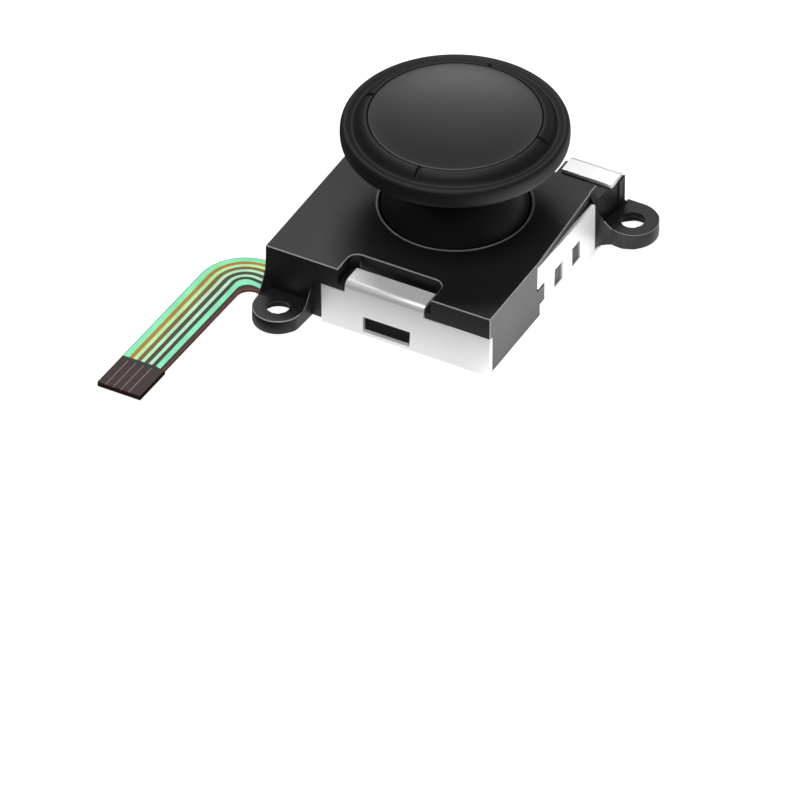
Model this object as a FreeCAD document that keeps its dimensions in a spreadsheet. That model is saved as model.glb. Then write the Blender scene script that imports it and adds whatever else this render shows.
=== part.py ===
import FreeCAD, Part
import math
import os
import Sketcher

# Slim thumb stick module of a hand-held game controller, in millimetres.
# The origin is on the stick axis at the underside of the metal frame, +Z is up,
# -Y is the front wall with the small window, and the flexible tail leaves to -X.

Vector = FreeCAD.Vector

# Driving sizes: word, value, meaning.
SIZES = [
    ("sheet_thick", 0.3, "thickness of the frame's sheet metal"),
    ("rim_left", 3.55, "dome to the left face of the case"),
    ("rim_front", 4.6, "dome to the front face"),
    ("rim_right", 2.6, "dome to the right face"),
    ("rim_back", 0.8, "dome to the back face"),
    ("case_top", 4.75, "height of the top face"),
    ("case_wall", 0.8, "side wall of the case"),
    ("roof_thick", 0.5, "top wall of the case"),
    ("mouth_play", 0.21, "gap between the dome and the round opening in the top"),
    ("mouth_lip", 0.25, "upright part of the opening's edge"),
    ("taper_start", 3.2, "where the right top edge starts to step in, in front of the axis"),
    ("taper_depth", 0.48, "how far it steps in at the back"),
    ("notch_half", 3.4, "half width of the notch in the front edge"),
    ("notch_depth", 2.05, "depth of that notch"),
    ("notch_round", 0.7, "inner corners of the notch"),
    ("ledge_top", 3.6, "ledge in the notch, under the folded tab"),
    ("tab_half", 2.9, "half width of the front tab"),
    ("tab_reach", 1.68, "how far the front tab reaches back over the ledge"),
    ("tab_round", 0.45, "outer radius of a folded edge"),
    ("front_sheet_left", 4.62, "left end of the front sheet wall"),
    ("front_sheet_top", 3.1, "top of the front sheet wall"),
    ("front_window_left", 1.55, "left end of its window"),
    ("front_window_right", 1.88, "right end of its window"),
    ("front_window_low", 0.3, "sill of the window"),
    ("front_window_tall", 1.2, "height of the window"),
    ("side_sheet_start", 3.15, "near end of the side sheet wall, in front of the axis"),
    ("side_sheet_back", 1.1, "far end of the side sheet wall, in front of the case's back face"),
    ("side_near_top", 4.38, "its top at the near end"),
    ("side_far_top", 4.02, "its top at the far end"),
    ("key_reach", 1.0, "how far the case's key reaches into the side sheet"),
    ("key_low", 1.2, "underside of the key"),
    ("key_high", 2.6, "top of the key"),
    ("key_offset", 0.35, "step of the sheet's edge below the key"),
    ("joint_gap", 0.1, "visible gap between sheet and case"),
    ("side_window_wide", 1.15, "window in the side sheet"),
    ("side_window_tall", 1.45, "height of the side windows"),
    ("side_window_low", 1.15, "sill of the side windows"),
    ("side_window_first", 0.27, "centre of the near window, in front of the axis"),
    ("side_window_pitch", 2.5, "spacing of the two windows"),
    ("latch_gap", 0.06, "play of a latch boss in its window"),
    ("latch_reach", 0.18, "how far a latch boss reaches into its window"),
    ("ear_thick", 1.05, "screw ear"),
    ("left_ear_radius", 1.7, "outer radius of the left ear"),
    ("right_ear_radius", 1.87, "outer radius of the right ear"),
    ("right_ear_shift", 0.12, "its round lies this much nearer to the case than its hole"),
    ("ear_hole_radius", 0.8, "screw hole"),
    ("ear_web", 0.35, "web round a screw hole"),
    ("ear_recess_radius", 1.2, "recess under an ear, which takes the screw boss"),
    ("right_ear_from", 75.5, "where the right ear's round starts, in degrees past its left side"),
    ("left_ear_in", 1.65, "left ear's hole, inward of the case's left face"),
    ("left_ear_out", 1.38, "left ear's hole, in front of the case"),
    ("right_ear_out", 1.3, "right ear's hole, outside the right face"),
    ("right_ear_behind", 1.69, "right ear's hole, behind the back face"),
    ("horn_top", 3.7, "top of the ridges that join an ear to the case"),
    ("scoop_radius", 1.72, "round hollow for the screw's head, at its foot"),
    ("scoop_flare", 0.75, "how much wider the left hollow is at the top of the ridges"),
    ("right_scoop_flare", 1.35, "the same for the right hollow"),
    ("block_left", 3.6, "left end of the block behind the case"),
    ("block_step", 0.4, "step of the block's right face at its near end"),
    ("block_depth", 2.7, "depth of the block behind the case"),
    ("back_tab_left", 3.95, "left end of the back tab"),
    ("back_tab_in", 0.1, "right end of the back tab, inward of the right face"),
    ("back_tab_gap", 1.4, "gap between the case and the back tab"),
    ("edge_round", 0.1, "rounded top edges of the case"),
    ("pivot_height", 3.1, "height of the stick's pivot"),
    ("dome_radius", 5.15, "outside of the dust dome"),
    ("dome_wall", 0.4, "wall of the dust dome"),
    ("skirt_low", 3.6, "lower edge of the dust dome"),
    ("neck_radius", 2.3, "neck under the cap"),
    ("neck_blend", 0.9, "height and width of the hollow between the dome and the neck"),
    ("blend_low", 0.62, "middle of that hollow, outside the neck, as a share of its width"),
    ("blend_high", 0.24, "middle of that hollow above the dome, as a share of its height"),
    ("neck_reach", 1.63, "top of the dome to the lowest edge of the cap"),
    ("cap_tall", 1.95, "height of the cap, from its lowest edge to the seam"),
    ("lip_drop", 0.58, "top of the cap's outer lip below the seam"),
    ("seam_radius", 5.7, "seam between ring and disc"),
    ("ring_wide", 1.78, "width of the soft ring"),
    ("seam_gap", 0.06, "gap at the seam"),
    ("disc_thick", 0.75, "edge thickness of the top disc"),
    ("disc_dish", 0.25, "how far the middle of the disc lies lower"),
    ("grip_groove_wide", 0.28, "width of the four short grooves"),
    ("grip_groove_deep", 0.16, "depth of the four short grooves"),
    ("grip_groove_long", 0.75, "length of the grooves"),
    ("grip_groove_turn", 5.0, "turn of the grooves from the axes, in degrees"),
    ("valley_out", 0.95, "middle of the ring's hollow, outside the seam"),
    ("valley_drop", 0.78, "bottom of the hollow below the seam"),
    ("core_drop", 1.1, "underside of the core at the neck, below the ring's edge"),
    ("under_drop", 0.41, "underside of the cap at the seam, below the ring's edge"),
    ("lip_round", 0.28, "softened edges of the ring's wall"),
    ("lip_flat", 0.09, "first flat of such an edge"),
    ("valley_half", 0.2, "half width of the hollow's bottom"),
    ("roll_wide", 0.5, "width of the ring's inner roll"),
    ("roll_drop", 0.22, "outer end of the roll below the seam"),
    ("roll_flat", 0.26, "width of the roll's inner flat"),
    ("roll_fall", 0.06, "fall of that flat"),
    ("core_collar", 0.9, "foot of the core, outside the neck"),
    ("disc_chamfer", 0.1, "bevelled edge of the disc"),
    ("dish_radius", 3.2, "steeper outer part of the dish ends here"),
    ("dish_inner", 0.18, "depth of the dish there"),
    ("flex_thick", 0.12, "flexible circuit"),
    ("flex_wide", 3.14, "width of the tail"),
    ("flex_exit_wide", 3.6, "width of the tail where it leaves the case"),
    ("flex_exit_in", 0.09, "inner edge of the tail there, behind the front face"),
    ("flex_outer_lean", 9.0, "slant of the tail's outer edge at the case, in degrees"),
    ("flex_inner_lean", 11.5, "slant of its inner edge the other way, in degrees"),
    ("flex_run_out", 3.35, "case to the middle of the straight run at its start"),
    ("flex_run_lean", 2.0, "slant of the straight run, in degrees"),
    ("flex_run_long", 12.75, "straight run, from the front face to the end"),
    ("flex_film_round", 0.9, "radius of the film's inner edge in the bend"),
    ("flex_bend_inner", 0.05, "radius that the bend's lines tend to at the inner edge"),
    ("flex_bend_outer", 3.3, "radius of the bend's outer edge"),
    ("trace_count", 5, "conductors of the tail"),
    ("trace_first", 0.31, "outer edge to the middle of the first conductor"),
    ("trace_pitch", 0.565, "spacing of the tail's conductors"),
    ("trace_wide", 0.38, "width of a conductor"),
    ("trace_thick", 0.03, "height of a conductor"),
    ("contact_long", 3.1, "bare end zone of the tail"),
    ("stiffener_thick", 0.2, "stiffener under the end zone"),
    ("ball_height", 1.45, "height of the drive ball's centre"),
    ("ball_radius", 0.7, "drive ball"),
    ("ball_play", 0.05, "play of the ball in a slot"),
    ("slider_thick", 0.4, "slider plate"),
    ("slider_half_long", 3.3, "half length of a slider"),
    ("slider_half_wide", 1.3, "half width of a slider"),
    ("slider_travel", 0.52, "travel that the pockets allow each way"),
    ("slide_gap", 0.05, "running gap round a slider"),
    ("guide_floor", 1.0, "floor under the lower slider"),
    ("guide_shelf", 1.45, "shelf under the upper slider"),
    ("guide_top", 2.0, "top of the guide's middle"),
    ("guide_play", 0.95, "guide's middle is this much smaller than the dome"),
    ("guide_flange", 0.95, "top of the guide's flange"),
    ("guide_lift", 0.03, "gap between the circuit and the guide"),
    ("wiper_window", 0.55, "half width of a window over the tracks"),
    ("track_offset", 2.85, "stick axis to the middle of a track pair"),
    ("track_long", 2.6, "length of a carbon track"),
    ("track_wide", 0.32, "width of a carbon track"),
    ("track_thick", 0.05, "thickness of a track"),
    ("contact_gap", 0.02, "gap under a wiper finger"),
    ("wiper_sheet", 0.1, "sheet of a wiper"),
    ("wiper_half", 0.5, "half length of a wiper"),
    ("finger_long", 0.8, "length of a wiper finger"),
    ("snap_radius", 1.5, "foot of the snap dome"),
    ("snap_high", 0.19, "height of the snap dome inside"),
    ("snap_thick", 0.06, "sheet of the snap dome"),
    ("snap_crown", 0.9, "radius where its steep rim meets the flat crown"),
    ("tape_thick", 0.04, "film over the snap dome"),
    ("pin_radius", 0.3, "cross pins of the lever"),
    ("pin_gap", 0.03, "running gap of a pin"),
    ("pin_inset", 0.1, "pins end this much inside the face or reach this much into it"),
    ("gimbal_inner", 1.1, "inside of the gimbal ring"),
    ("gimbal_outer", 1.6, "outside of the gimbal ring"),
    ("gimbal_half", 0.35, "half height of the gimbal ring"),
    ("carrier_inner", 2.0, "inside of the press carrier"),
    ("carrier_outer", 2.75, "half width of the square press carrier"),
    ("carrier_half", 0.5, "half height of the press carrier"),
    ("guide_pin_reach", 3.2, "guide pins of the carrier, from the axis"),
    ("guide_pin_radius", 0.26, "guide pin"),
    ("guide_pin_low", 1.45, "lower end of the guide pins"),
    ("lever_radius", 0.45, "lever below the hub"),
    ("hub_radius", 0.75, "hub of the lever"),
    ("hub_slope", 0.2, "sloped foot of the hub"),
    ("stem_radius", 1.1, "lever above the hub"),
    ("stem_gap", 0.08, "lever's top below the disc"),
    ("seat_thick", 0.3, "spring seat washer"),
    ("spring_radius", 2.35, "mean radius of the return spring"),
    ("spring_wire", 0.26, "wire of the return spring"),
    ("spring_turns", 3.0, "turns of the return spring"),
    ("spring_sides", 6, "flats that stand for the wire's round"),
]

# Sizes that follow from the driving ones: word, formula.
FOLLOWING = {
    "case_left": "dome_radius + rim_left",
    "case_front": "dome_radius + rim_front",
    "case_right": "dome_radius + rim_right",
    "case_back": "dome_radius + rim_back",
    "side_sheet_end": "case_back - side_sheet_back",
    "mouth_radius": "sqrt(dome_radius^2 - (case_top - pivot_height)^2) + mouth_play",
    "left_ear_left": "case_left - left_ear_in",
    "left_ear_front": "case_front + left_ear_out",
    "right_ear_right": "case_right + right_ear_out",
    "right_ear_back": "case_back + right_ear_behind",
    "back_tab_right": "case_right - back_tab_in",
    "cap_under": "pivot_height + dome_radius + neck_reach",
    "cap_seam_top": "cap_under + cap_tall",
    "cap_lip_top": "cap_seam_top - lip_drop",
    "cap_radius": "seam_radius + ring_wide",
    "ring_valley_radius": "seam_radius + valley_out",
    "ring_valley_top": "cap_seam_top - valley_drop",
    "guide_radius": "dome_radius - guide_play",
    "stem_top": "cap_seam_top - disc_thick - stem_gap",
    "flex_end_front": "case_front + flex_run_long",
}

doc = FreeCAD.newDocument("thumb_stick_module")
sheet = doc.addObject("Spreadsheet::Sheet", "sizes")
for row, (word, value, meaning) in enumerate(SIZES, start=1):
    sheet.set(f"A{row}", meaning)
    sheet.set(f"B{row}", str(value))
    sheet.setAlias(f"B{row}", word)
doc.recompute()

NODES = {}

# Edges and faces nearer to a plane than this lie in it, and cutters stand out by the margin.
NEAR = 0.01
MARGIN = 1.0


def size(word):
    """The value of one size, driving or following."""
    return number(word)


def bind(thing, prop, formula):
    """Ties a property to a formula of sheet words."""
    thing.setExpression(prop, spell(formula))


def spell(formula):
    """Writes the sheet's name before each of its words."""
    text = str(formula)
    pieces = []
    word = ""
    for letter in text + " ":
        if letter.isalnum() or letter == "_" or letter == ".":
            word += letter
            continue
        if word in WORDS:
            pieces.append(f"sizes.{word}")
        elif word in FOLLOWING:
            pieces.append(f"({spell(FOLLOWING[word])})")
        else:
            pieces.append(word)
        pieces.append(letter)
        word = ""
    return "".join(pieces).strip()


WORDS = {word for word, value, meaning in SIZES}


def number(formula):
    """The value of a formula of sheet words."""
    return float(sheet.evalExpression(spell(formula)))


def keep(label, thing):
    """Names a finished sub-part."""
    thing.Label = label
    NODES[label] = thing
    return thing


def block(name, x0, x1, y0, y1, z0, z1):
    """A box between six planes."""
    box = doc.addObject("Part::Box", name)
    bind(box, "Length", f"({x1}) - ({x0})")
    bind(box, "Width", f"({y1}) - ({y0})")
    bind(box, "Height", f"({z1}) - ({z0})")
    bind(box, "Placement.Base.x", x0)
    bind(box, "Placement.Base.y", y0)
    bind(box, "Placement.Base.z", z0)
    return box


TURNS = {
    "z": FreeCAD.Rotation(),
    "x": FreeCAD.Rotation(Vector(0, 1, 0), 90),
    "y": FreeCAD.Rotation(Vector(1, 0, 0), -90),
}


def rod(name, radius, start, length, axis="z"):
    """A cylinder that starts at a point and runs along an axis."""
    cylinder = doc.addObject("Part::Cylinder", name)
    cylinder.Placement.Rotation = TURNS[axis]
    bind(cylinder, "Radius", radius)
    bind(cylinder, "Height", length)
    for letter, formula in zip("xyz", start):
        bind(cylinder, f"Placement.Base.{letter}", formula)
    return cylinder


def ball(name, radius, height):
    """A ball on the stick axis."""
    sphere = doc.addObject("Part::Sphere", name)
    bind(sphere, "Radius", radius)
    bind(sphere, "Placement.Base.z", height)
    return sphere


def joined(name, things):
    """One solid of several that overlap."""
    fuse = doc.addObject("Part::MultiFuse", name)
    fuse.Shapes = things
    fuse.Refine = True
    return fuse


def without(name, base, tools):
    """A solid less the tools."""
    tool = tools[0] if len(tools) == 1 else joined(f"{name}_tools", tools)
    cut = doc.addObject("Part::Cut", name)
    cut.Base = base
    cut.Tool = tool
    cut.Refine = True
    return cut


def new_body(name):
    """An empty body."""
    return doc.addObject("PartDesign::Body", f"{name}_body")


def new_sketch(body, name, role, offset="0"):
    """A sketch on one of the body's own planes, moved along the plane's normal."""
    sketch = body.newObject("Sketcher::SketchObject", name)
    plane = [item for item in body.Origin.OriginFeatures if item.Role == role][0]
    sketch.AttachmentSupport = [(plane, "")]
    sketch.MapMode = "FlatFace"
    bind(sketch, ".AttachmentOffset.Base.z", offset)
    return sketch


def arc_between(start, end, radius):
    """The short arc between two points; a positive radius bulges to the right of the way."""
    way = end - start
    half = way.Length / 2
    height = math.sqrt(max(radius * radius - half * half, 0))
    side = Vector(-way.y, way.x, 0).normalize()
    sign = 1 if radius > 0 else -1
    centre = (start + end) * 0.5 + side * height * sign
    middle = centre - side * abs(radius) * sign
    return Part.Arc(start, middle, end)


def outline(sketch, corners):
    """A closed outline; a corner's third value is the radius of the arc to the next one."""
    first = sketch.GeometryCount
    count = len(corners)
    points = [Vector(number(corner[0]), number(corner[1]), 0) for corner in corners]
    for index, corner in enumerate(corners):
        start = points[index]
        end = points[(index + 1) % count]
        if len(corner) > 2:
            sketch.addGeometry(arc_between(start, end, number(corner[2])))
        else:
            sketch.addGeometry(Part.LineSegment(start, end))
    ends = []
    for index, corner in enumerate(corners):
        turned = len(corner) > 2 and number(corner[2]) < 0
        ends.append((2, 1) if turned else (1, 2))
    for index in range(count):
        after = (index + 1) % count
        sketch.addConstraint(Sketcher.Constraint(
            "Coincident", first + index, ends[index][1], first + after, ends[after][0]))
    for index, corner in enumerate(corners):
        for kind, formula in (("DistanceX", corner[0]), ("DistanceY", corner[1])):
            place = sketch.addConstraint(Sketcher.Constraint(
                kind, -1, 1, first + index, ends[index][0], number(formula)))
            bind(sketch, f"Constraints[{place}]", formula)
        if len(corner) > 2:
            radius = corner[2][1:] if corner[2].startswith("-") else corner[2]
            place = sketch.addConstraint(Sketcher.Constraint(
                "Radius", first + index, number(radius)))
            bind(sketch, f"Constraints[{place}]", radius)


def ring_outline(sketch, x, y, radius):
    """A circle in a sketch."""
    centre = Vector(number(x), number(y), 0)
    place = sketch.addGeometry(Part.Circle(centre, Vector(0, 0, 1), number(radius)))
    for kind, formula in (("DistanceX", x), ("DistanceY", y)):
        index = sketch.addConstraint(Sketcher.Constraint(kind, -1, 1, place, 3, number(formula)))
        bind(sketch, f"Constraints[{index}]", formula)
    index = sketch.addConstraint(Sketcher.Constraint("Radius", place, number(radius)))
    bind(sketch, f"Constraints[{index}]", radius)


def pad(body, sketch, length, name):
    """Adds a prism above the sketch."""
    feature = body.newObject("PartDesign::Pad", name)
    feature.Profile = sketch
    bind(feature, "Length", length)
    return feature


def pocket(body, sketch, length, name):
    """Cuts a prism below the sketch and makes sure that it took something away."""
    doc.recompute()
    before = body.Shape.Volume
    feature = body.newObject("PartDesign::Pocket", name)
    feature.Profile = sketch
    bind(feature, "Length", length)
    doc.recompute()
    if body.Shape.Volume >= before:
        raise RuntimeError(f"{name} cuts nothing")
    return feature


def turned(body, name, corners):
    """A solid of revolution about the stick axis; corners are radius and height."""
    sketch = new_sketch(body, f"{name}_profile", "XZ_Plane")
    outline(sketch, corners)
    feature = body.newObject("PartDesign::Revolution", name)
    feature.Profile = sketch
    feature.ReferenceAxis = (sketch, ["V_Axis"])
    feature.Angle = 360
    return feature


def plan(x0, x1, y0, y1):
    """Four corners of a rectangle."""
    return [(x0, y0), (x1, y0), (x1, y1), (x0, y1)]


def round_edges(body, radius, name, wanted):
    """Rounds the edges of the body that the test picks."""
    doc.recompute()
    base = body.Tip
    picked = [f"Edge{index}" for index, edge in enumerate(base.Shape.Edges, start=1) if wanted(edge)]
    if not picked:
        raise RuntimeError(f"{name} finds no edge")
    fillet = body.newObject("PartDesign::Fillet", name)
    fillet.Base = (base, picked)
    bind(fillet, "Radius", radius)
    doc.recompute()
    return fillet


def upright_at(places):
    """A test for upright edges at the given plan positions."""
    def wanted(edge):
        box = edge.BoundBox
        if box.ZLength < NEAR or box.XLength > NEAR or box.YLength > NEAR:
            return False
        return any(abs(box.XMin - x) < NEAR and abs(box.YMin - y) < NEAR for x, y in places)
    return wanted


# Black moulded case with its two screw ears, notch, latches and round mouth.
def make_case():
    body = new_body("case")
    low = "sheet_thick"
    walls = new_sketch(body, "case_outline", "XY_Plane", low)
    outline(walls, plan("-case_left", "case_right", "-case_front", "case_back"))
    pad(body, walls, f"case_top - {low}", "case_walls")

    rear = new_sketch(body, "rear_block_outline", "XY_Plane", low)
    outline(rear, [
        ("block_left", "case_back - case_wall"),
        ("case_right - case_wall", "case_back - case_wall"),
        ("case_right - block_step", "case_back"),
        ("case_right", "case_back + block_depth"),
        ("block_left", "case_back + block_depth"),
    ])
    pad(body, rear, f"ledge_top - {low}", "rear_block")

    inside = new_sketch(body, "cavity_outline", "XY_Plane", "case_top - roof_thick")
    outline(inside, plan(
        "case_wall - case_left", "case_right - case_wall",
        "case_wall - case_front + sheet_thick", "case_back - case_wall"))
    pocket(body, inside, f"case_top - roof_thick - {low}", "cavity")

    ledge = new_sketch(body, "ledge_outline", "XY_Plane", "ledge_top - case_wall")
    outline(ledge, plan(
        "-notch_half - case_wall", "notch_half + case_wall",
        "-case_front", "notch_depth - case_front + case_wall / 2"))
    pad(body, ledge, "case_top - ledge_top + case_wall", "ledge_block")

    notch = new_sketch(body, "notch_outline", "XY_Plane", "case_top")
    outline(notch, plan("-notch_half", "notch_half", "-case_front", "notch_depth - case_front"))
    pocket(body, notch, "case_top - ledge_top", "notch")
    back = size("notch_depth") - size("case_front")
    half = size("notch_half")
    round_edges(body, "notch_round", "notch_corners", upright_at([(-half, back), (half, back)]))

    mouth = new_sketch(body, "mouth_outline", "XY_Plane", "case_top")
    ring_outline(mouth, "0", "0", "mouth_radius")
    pocket(body, mouth, "roof_thick", "mouth")

    relief = new_sketch(body, "mouth_relief_profile", "XZ_Plane")
    outline(relief, [
        ("mouth_radius - case_wall", "case_top"),
        ("mouth_radius + edge_round", "case_top"),
        ("mouth_radius", "case_top - edge_round"),
        ("mouth_radius", "case_top - mouth_lip"),
        ("mouth_radius + roof_thick - mouth_lip", "case_top - roof_thick"),
        ("mouth_radius - case_wall", "case_top - roof_thick"),
    ])
    doc.recompute()
    groove = body.newObject("PartDesign::Groove", "mouth_relief")
    groove.Profile = relief
    groove.ReferenceAxis = (relief, ["V_Axis"])
    groove.Angle = 360

    front = new_sketch(body, "front_rebate_outline", "XY_Plane", "front_sheet_top")
    outline(front, plan(
        "-front_sheet_left", "case_right", "-case_front", "sheet_thick - case_front"))
    pocket(body, front, f"front_sheet_top - {low}", "front_rebate")
    rise = new_sketch(body, "tab_rebate_outline", "XY_Plane", "ledge_top")
    outline(rise, plan(
        "-tab_half - joint_gap / 2", "tab_half + joint_gap / 2",
        "-case_front", "sheet_thick - case_front"))
    pocket(body, rise, "ledge_top - front_sheet_top", "tab_rebate")

    side = new_sketch(body, "side_rebate_outline", "YZ_Plane", "case_right")
    outline(side, side_sheet_corners("joint_gap", low))
    pocket(body, side, "sheet_thick", "side_rebate")

    step = new_sketch(body, "taper_outline", "XY_Plane", "case_top")
    outline(step, [
        ("case_right", "-taper_start"),
        ("case_right", "case_back"),
        ("case_right - taper_depth", "case_back"),
    ])
    pocket(body, step, "case_top - side_far_top", "side_taper")

    bare = new_sketch(body, "bare_wall_outline", "XY_Plane", "case_top")
    outline(bare, [
        ("case_right", "side_sheet_end + joint_gap"),
        ("case_right", "case_back"),
        ("case_right - taper_depth", "case_back"),
        ("case_right - taper_depth", "side_sheet_end + joint_gap"),
    ])
    pocket(body, bare, f"case_top - {low}", "bare_wall")

    latch = new_sketch(body, "latch_outline", "YZ_Plane", "case_right - sheet_thick")
    for index in (0, 1):
        centre = f"side_window_pitch * {index} - side_window_first"
        outline(latch, plan(
            f"{centre} - side_window_wide / 2 + latch_gap",
            f"{centre} + side_window_wide / 2 - latch_gap",
            "side_window_low + latch_gap",
            "side_window_low + side_window_tall - latch_gap"))
    pad(body, latch, "latch_reach", "latches")

    top = size("case_top")

    def rim(edge):
        box = edge.BoundBox
        level = abs(box.ZMin - top) < NEAR and abs(box.ZMax - top) < NEAR
        tapered = box.XMin > size("case_right") - size("taper_depth") - NEAR
        mouth = box.XLength > size("mouth_radius")
        return level and not tapered and not (mouth and box.YLength > NEAR)
    round_edges(body, "edge_round", "top_edges", rim)

    slot = block(
        "tail_slot", f"-case_left - {low}", "case_wall - case_left",
        "flex_exit_in - case_front - joint_gap * 2",
        "flex_exit_in - case_front + flex_exit_wide + joint_gap * 2",
        low, f"{low} + flex_thick * 2")
    whole = joined("case_with_ears", [body, make_ear("left"), make_ear("right")])
    keep("case", without("case_cut", whole, [slot]))


def make_ear(side):
    """A screw ear with the ridges that join it to the case."""
    places = {
        "left": ("-left_ear_left", "-left_ear_front", "scoop_flare"),
        "right": ("right_ear_right", "right_ear_back", "right_scoop_flare"),
    }
    x, y, flare = places[side]
    body = new_body(f"{side}_ear")
    low = "sheet_thick"
    plate = new_sketch(body, f"{side}_ear_outline", "XY_Plane", low)
    outline(plate, left_ear_corners() if side == "left" else right_ear_corners())
    pad(body, plate, f"horn_top - {low}", f"{side}_ear_boss")
    hole = new_sketch(body, f"{side}_hole_outline", "XY_Plane", "horn_top")
    ring_outline(hole, x, y, "ear_hole_radius")
    pocket(body, hole, "horn_top", f"{side}_screw_hole")
    recess = new_sketch(body, f"{side}_recess_outline", "XY_Plane", f"{low} + ear_thick - ear_web")
    ring_outline(recess, x, y, "ear_recess_radius")
    pocket(body, recess, "ear_thick - ear_web", f"{side}_recess")
    scoop = doc.addObject("Part::Cone", f"{side}_scoop")
    bind(scoop, "Radius1", "scoop_radius")
    bind(scoop, "Radius2", f"scoop_radius + {flare}")
    bind(scoop, "Height", f"horn_top - {low} - ear_thick")
    for letter, formula in zip("xyz", (x, y, f"{low} + ear_thick")):
        bind(scoop, f"Placement.Base.{letter}", formula)
    return without(f"{side}_ear_cut", body, [scoop])


def left_ear_corners():
    """Plan outline of the left ear: its round, a straight flank and a corner in the front wall."""
    return [
        ("-left_ear_left + left_ear_radius", "-left_ear_front"),
        ("-left_ear_left + left_ear_radius + joint_gap", "-case_front"),
        ("-left_ear_left + left_ear_radius + joint_gap", "case_wall / 2 - case_front"),
        ("-left_ear_left - left_ear_radius", "case_wall / 2 - case_front"),
        ("-left_ear_left - left_ear_radius", "-left_ear_front", "left_ear_radius"),
        ("-left_ear_left", "-left_ear_front - left_ear_radius", "left_ear_radius"),
    ]


def right_ear_corners():
    """Plan outline of the right ear: its round, and concave corners to the case and the block."""
    x = "right_ear_right - right_ear_shift"
    y = "right_ear_back"
    return [
        ("case_right - case_wall", "side_sheet_end + joint_gap"),
        ("case_right", "side_sheet_end + joint_gap", "-right_ear_radius / 2"),
        (f"{x} - right_ear_radius * cos(right_ear_from * 1deg)",
         f"{y} - right_ear_radius * sin(right_ear_from * 1deg)", "right_ear_radius"),
        (f"{x} + right_ear_radius", y, "right_ear_radius"),
        (x, f"{y} + right_ear_radius"),
        ("case_right", f"{y} + right_ear_radius"),
        ("case_right", "case_back + block_depth"),
        ("case_right - case_wall", "case_back + block_depth"),
    ]


def side_sheet_corners(gap, low):
    """Outline of the side sheet wall seen from the right; the gap widens it for the rebate."""
    start = f"-side_sheet_start - {gap}"
    return [
        (f"{start} + key_offset", low),
        ("side_sheet_end", low),
        ("side_sheet_end", f"side_far_top + {gap} / 4"),
        (start, f"side_near_top + {gap} / 4"),
        (start, f"key_high - {gap}"),
        (f"{start} + key_reach", f"key_high - {gap}"),
        (f"{start} + key_reach", f"key_low + {gap}"),
        (f"{start} + key_offset", f"key_low + {gap}"),
    ]


# Bright folded sheet frame: floor, front wall, side wall and two hooks.
def make_frame():
    body = new_body("frame")
    floor = new_sketch(body, "floor_outline", "XY_Plane")
    outline(floor, [
        ("joint_gap - case_left", "-case_front + case_wall"),
        ("-front_sheet_left", "-case_front + case_wall"),
        ("-front_sheet_left", "-case_front"),
        ("case_right", "-case_front"),
        ("case_right", "case_back"),
        ("joint_gap - case_left", "case_back"),
    ])
    pad(body, floor, "sheet_thick", "floor_sheet")
    front = new_sketch(body, "front_wall_outline", "XZ_Plane", "case_front - sheet_thick")
    outline(front, [
        ("-front_sheet_left", "0"),
        ("case_right", "0"),
        ("case_right", "front_sheet_top"),
        ("tab_half", "front_sheet_top"),
        ("tab_half", "ledge_top + sheet_thick"),
        ("-tab_half", "ledge_top + sheet_thick"),
        ("-tab_half", "front_sheet_top"),
        ("-front_sheet_left", "front_sheet_top"),
    ])
    outline(front, plan(
        "-front_window_left", "front_window_right",
        "front_window_low", "front_window_low + front_window_tall"))
    pad(body, front, "sheet_thick", "front_wall")
    tab = new_sketch(body, "front_tab_outline", "XY_Plane", "ledge_top")
    outline(tab, plan("-tab_half", "tab_half", "-case_front", "tab_reach - case_front"))
    pad(body, tab, "sheet_thick", "front_tab")

    side = new_sketch(body, "side_wall_outline", "YZ_Plane", "case_right - sheet_thick")
    outline(side, side_sheet_corners("0", "0"))
    for index in (0, 1):
        centre = f"side_window_pitch * {index} - side_window_first"
        outline(side, plan(
            f"{centre} - side_window_wide / 2", f"{centre} + side_window_wide / 2",
            "side_window_low", "side_window_low + side_window_tall"))
    pad(body, side, "sheet_thick", "side_wall")

    rear_floor = new_sketch(body, "rear_floor_outline", "XY_Plane")
    outline(rear_floor, plan(
        "back_tab_left", "back_tab_right", "case_back - case_wall",
        "case_back + block_depth + sheet_thick + joint_gap"))
    pad(body, rear_floor, "sheet_thick", "rear_floor")
    rear = new_sketch(
        body, "rear_wall_outline", "XZ_Plane", "-case_back - block_depth - sheet_thick - joint_gap")
    outline(rear, plan("back_tab_left", "back_tab_right", "0", "ledge_top + sheet_thick"))
    pad(body, rear, "sheet_thick", "rear_wall")
    hook = new_sketch(body, "rear_tab_outline", "XY_Plane", "ledge_top")
    outline(hook, plan(
        "back_tab_left", "back_tab_right", "case_back + back_tab_gap",
        "case_back + block_depth + sheet_thick + joint_gap"))
    pad(body, hook, "sheet_thick", "rear_tab")
    rear_face = number("case_back + block_depth + sheet_thick + joint_gap")
    top = size("ledge_top") + size("sheet_thick")

    def folded(edge):
        box = edge.BoundBox
        along = box.XLength > MARGIN and box.YLength < NEAR and box.ZLength < NEAR
        front_fold = abs(box.YMin + size("case_front")) < NEAR
        rear_fold = abs(box.YMin - rear_face) < NEAR
        return along and abs(box.ZMin - top) < NEAR and (front_fold or rear_fold)
    round_edges(body, "tab_round", "folded_edges", folded)
    keep("metal_frame", body)


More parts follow.
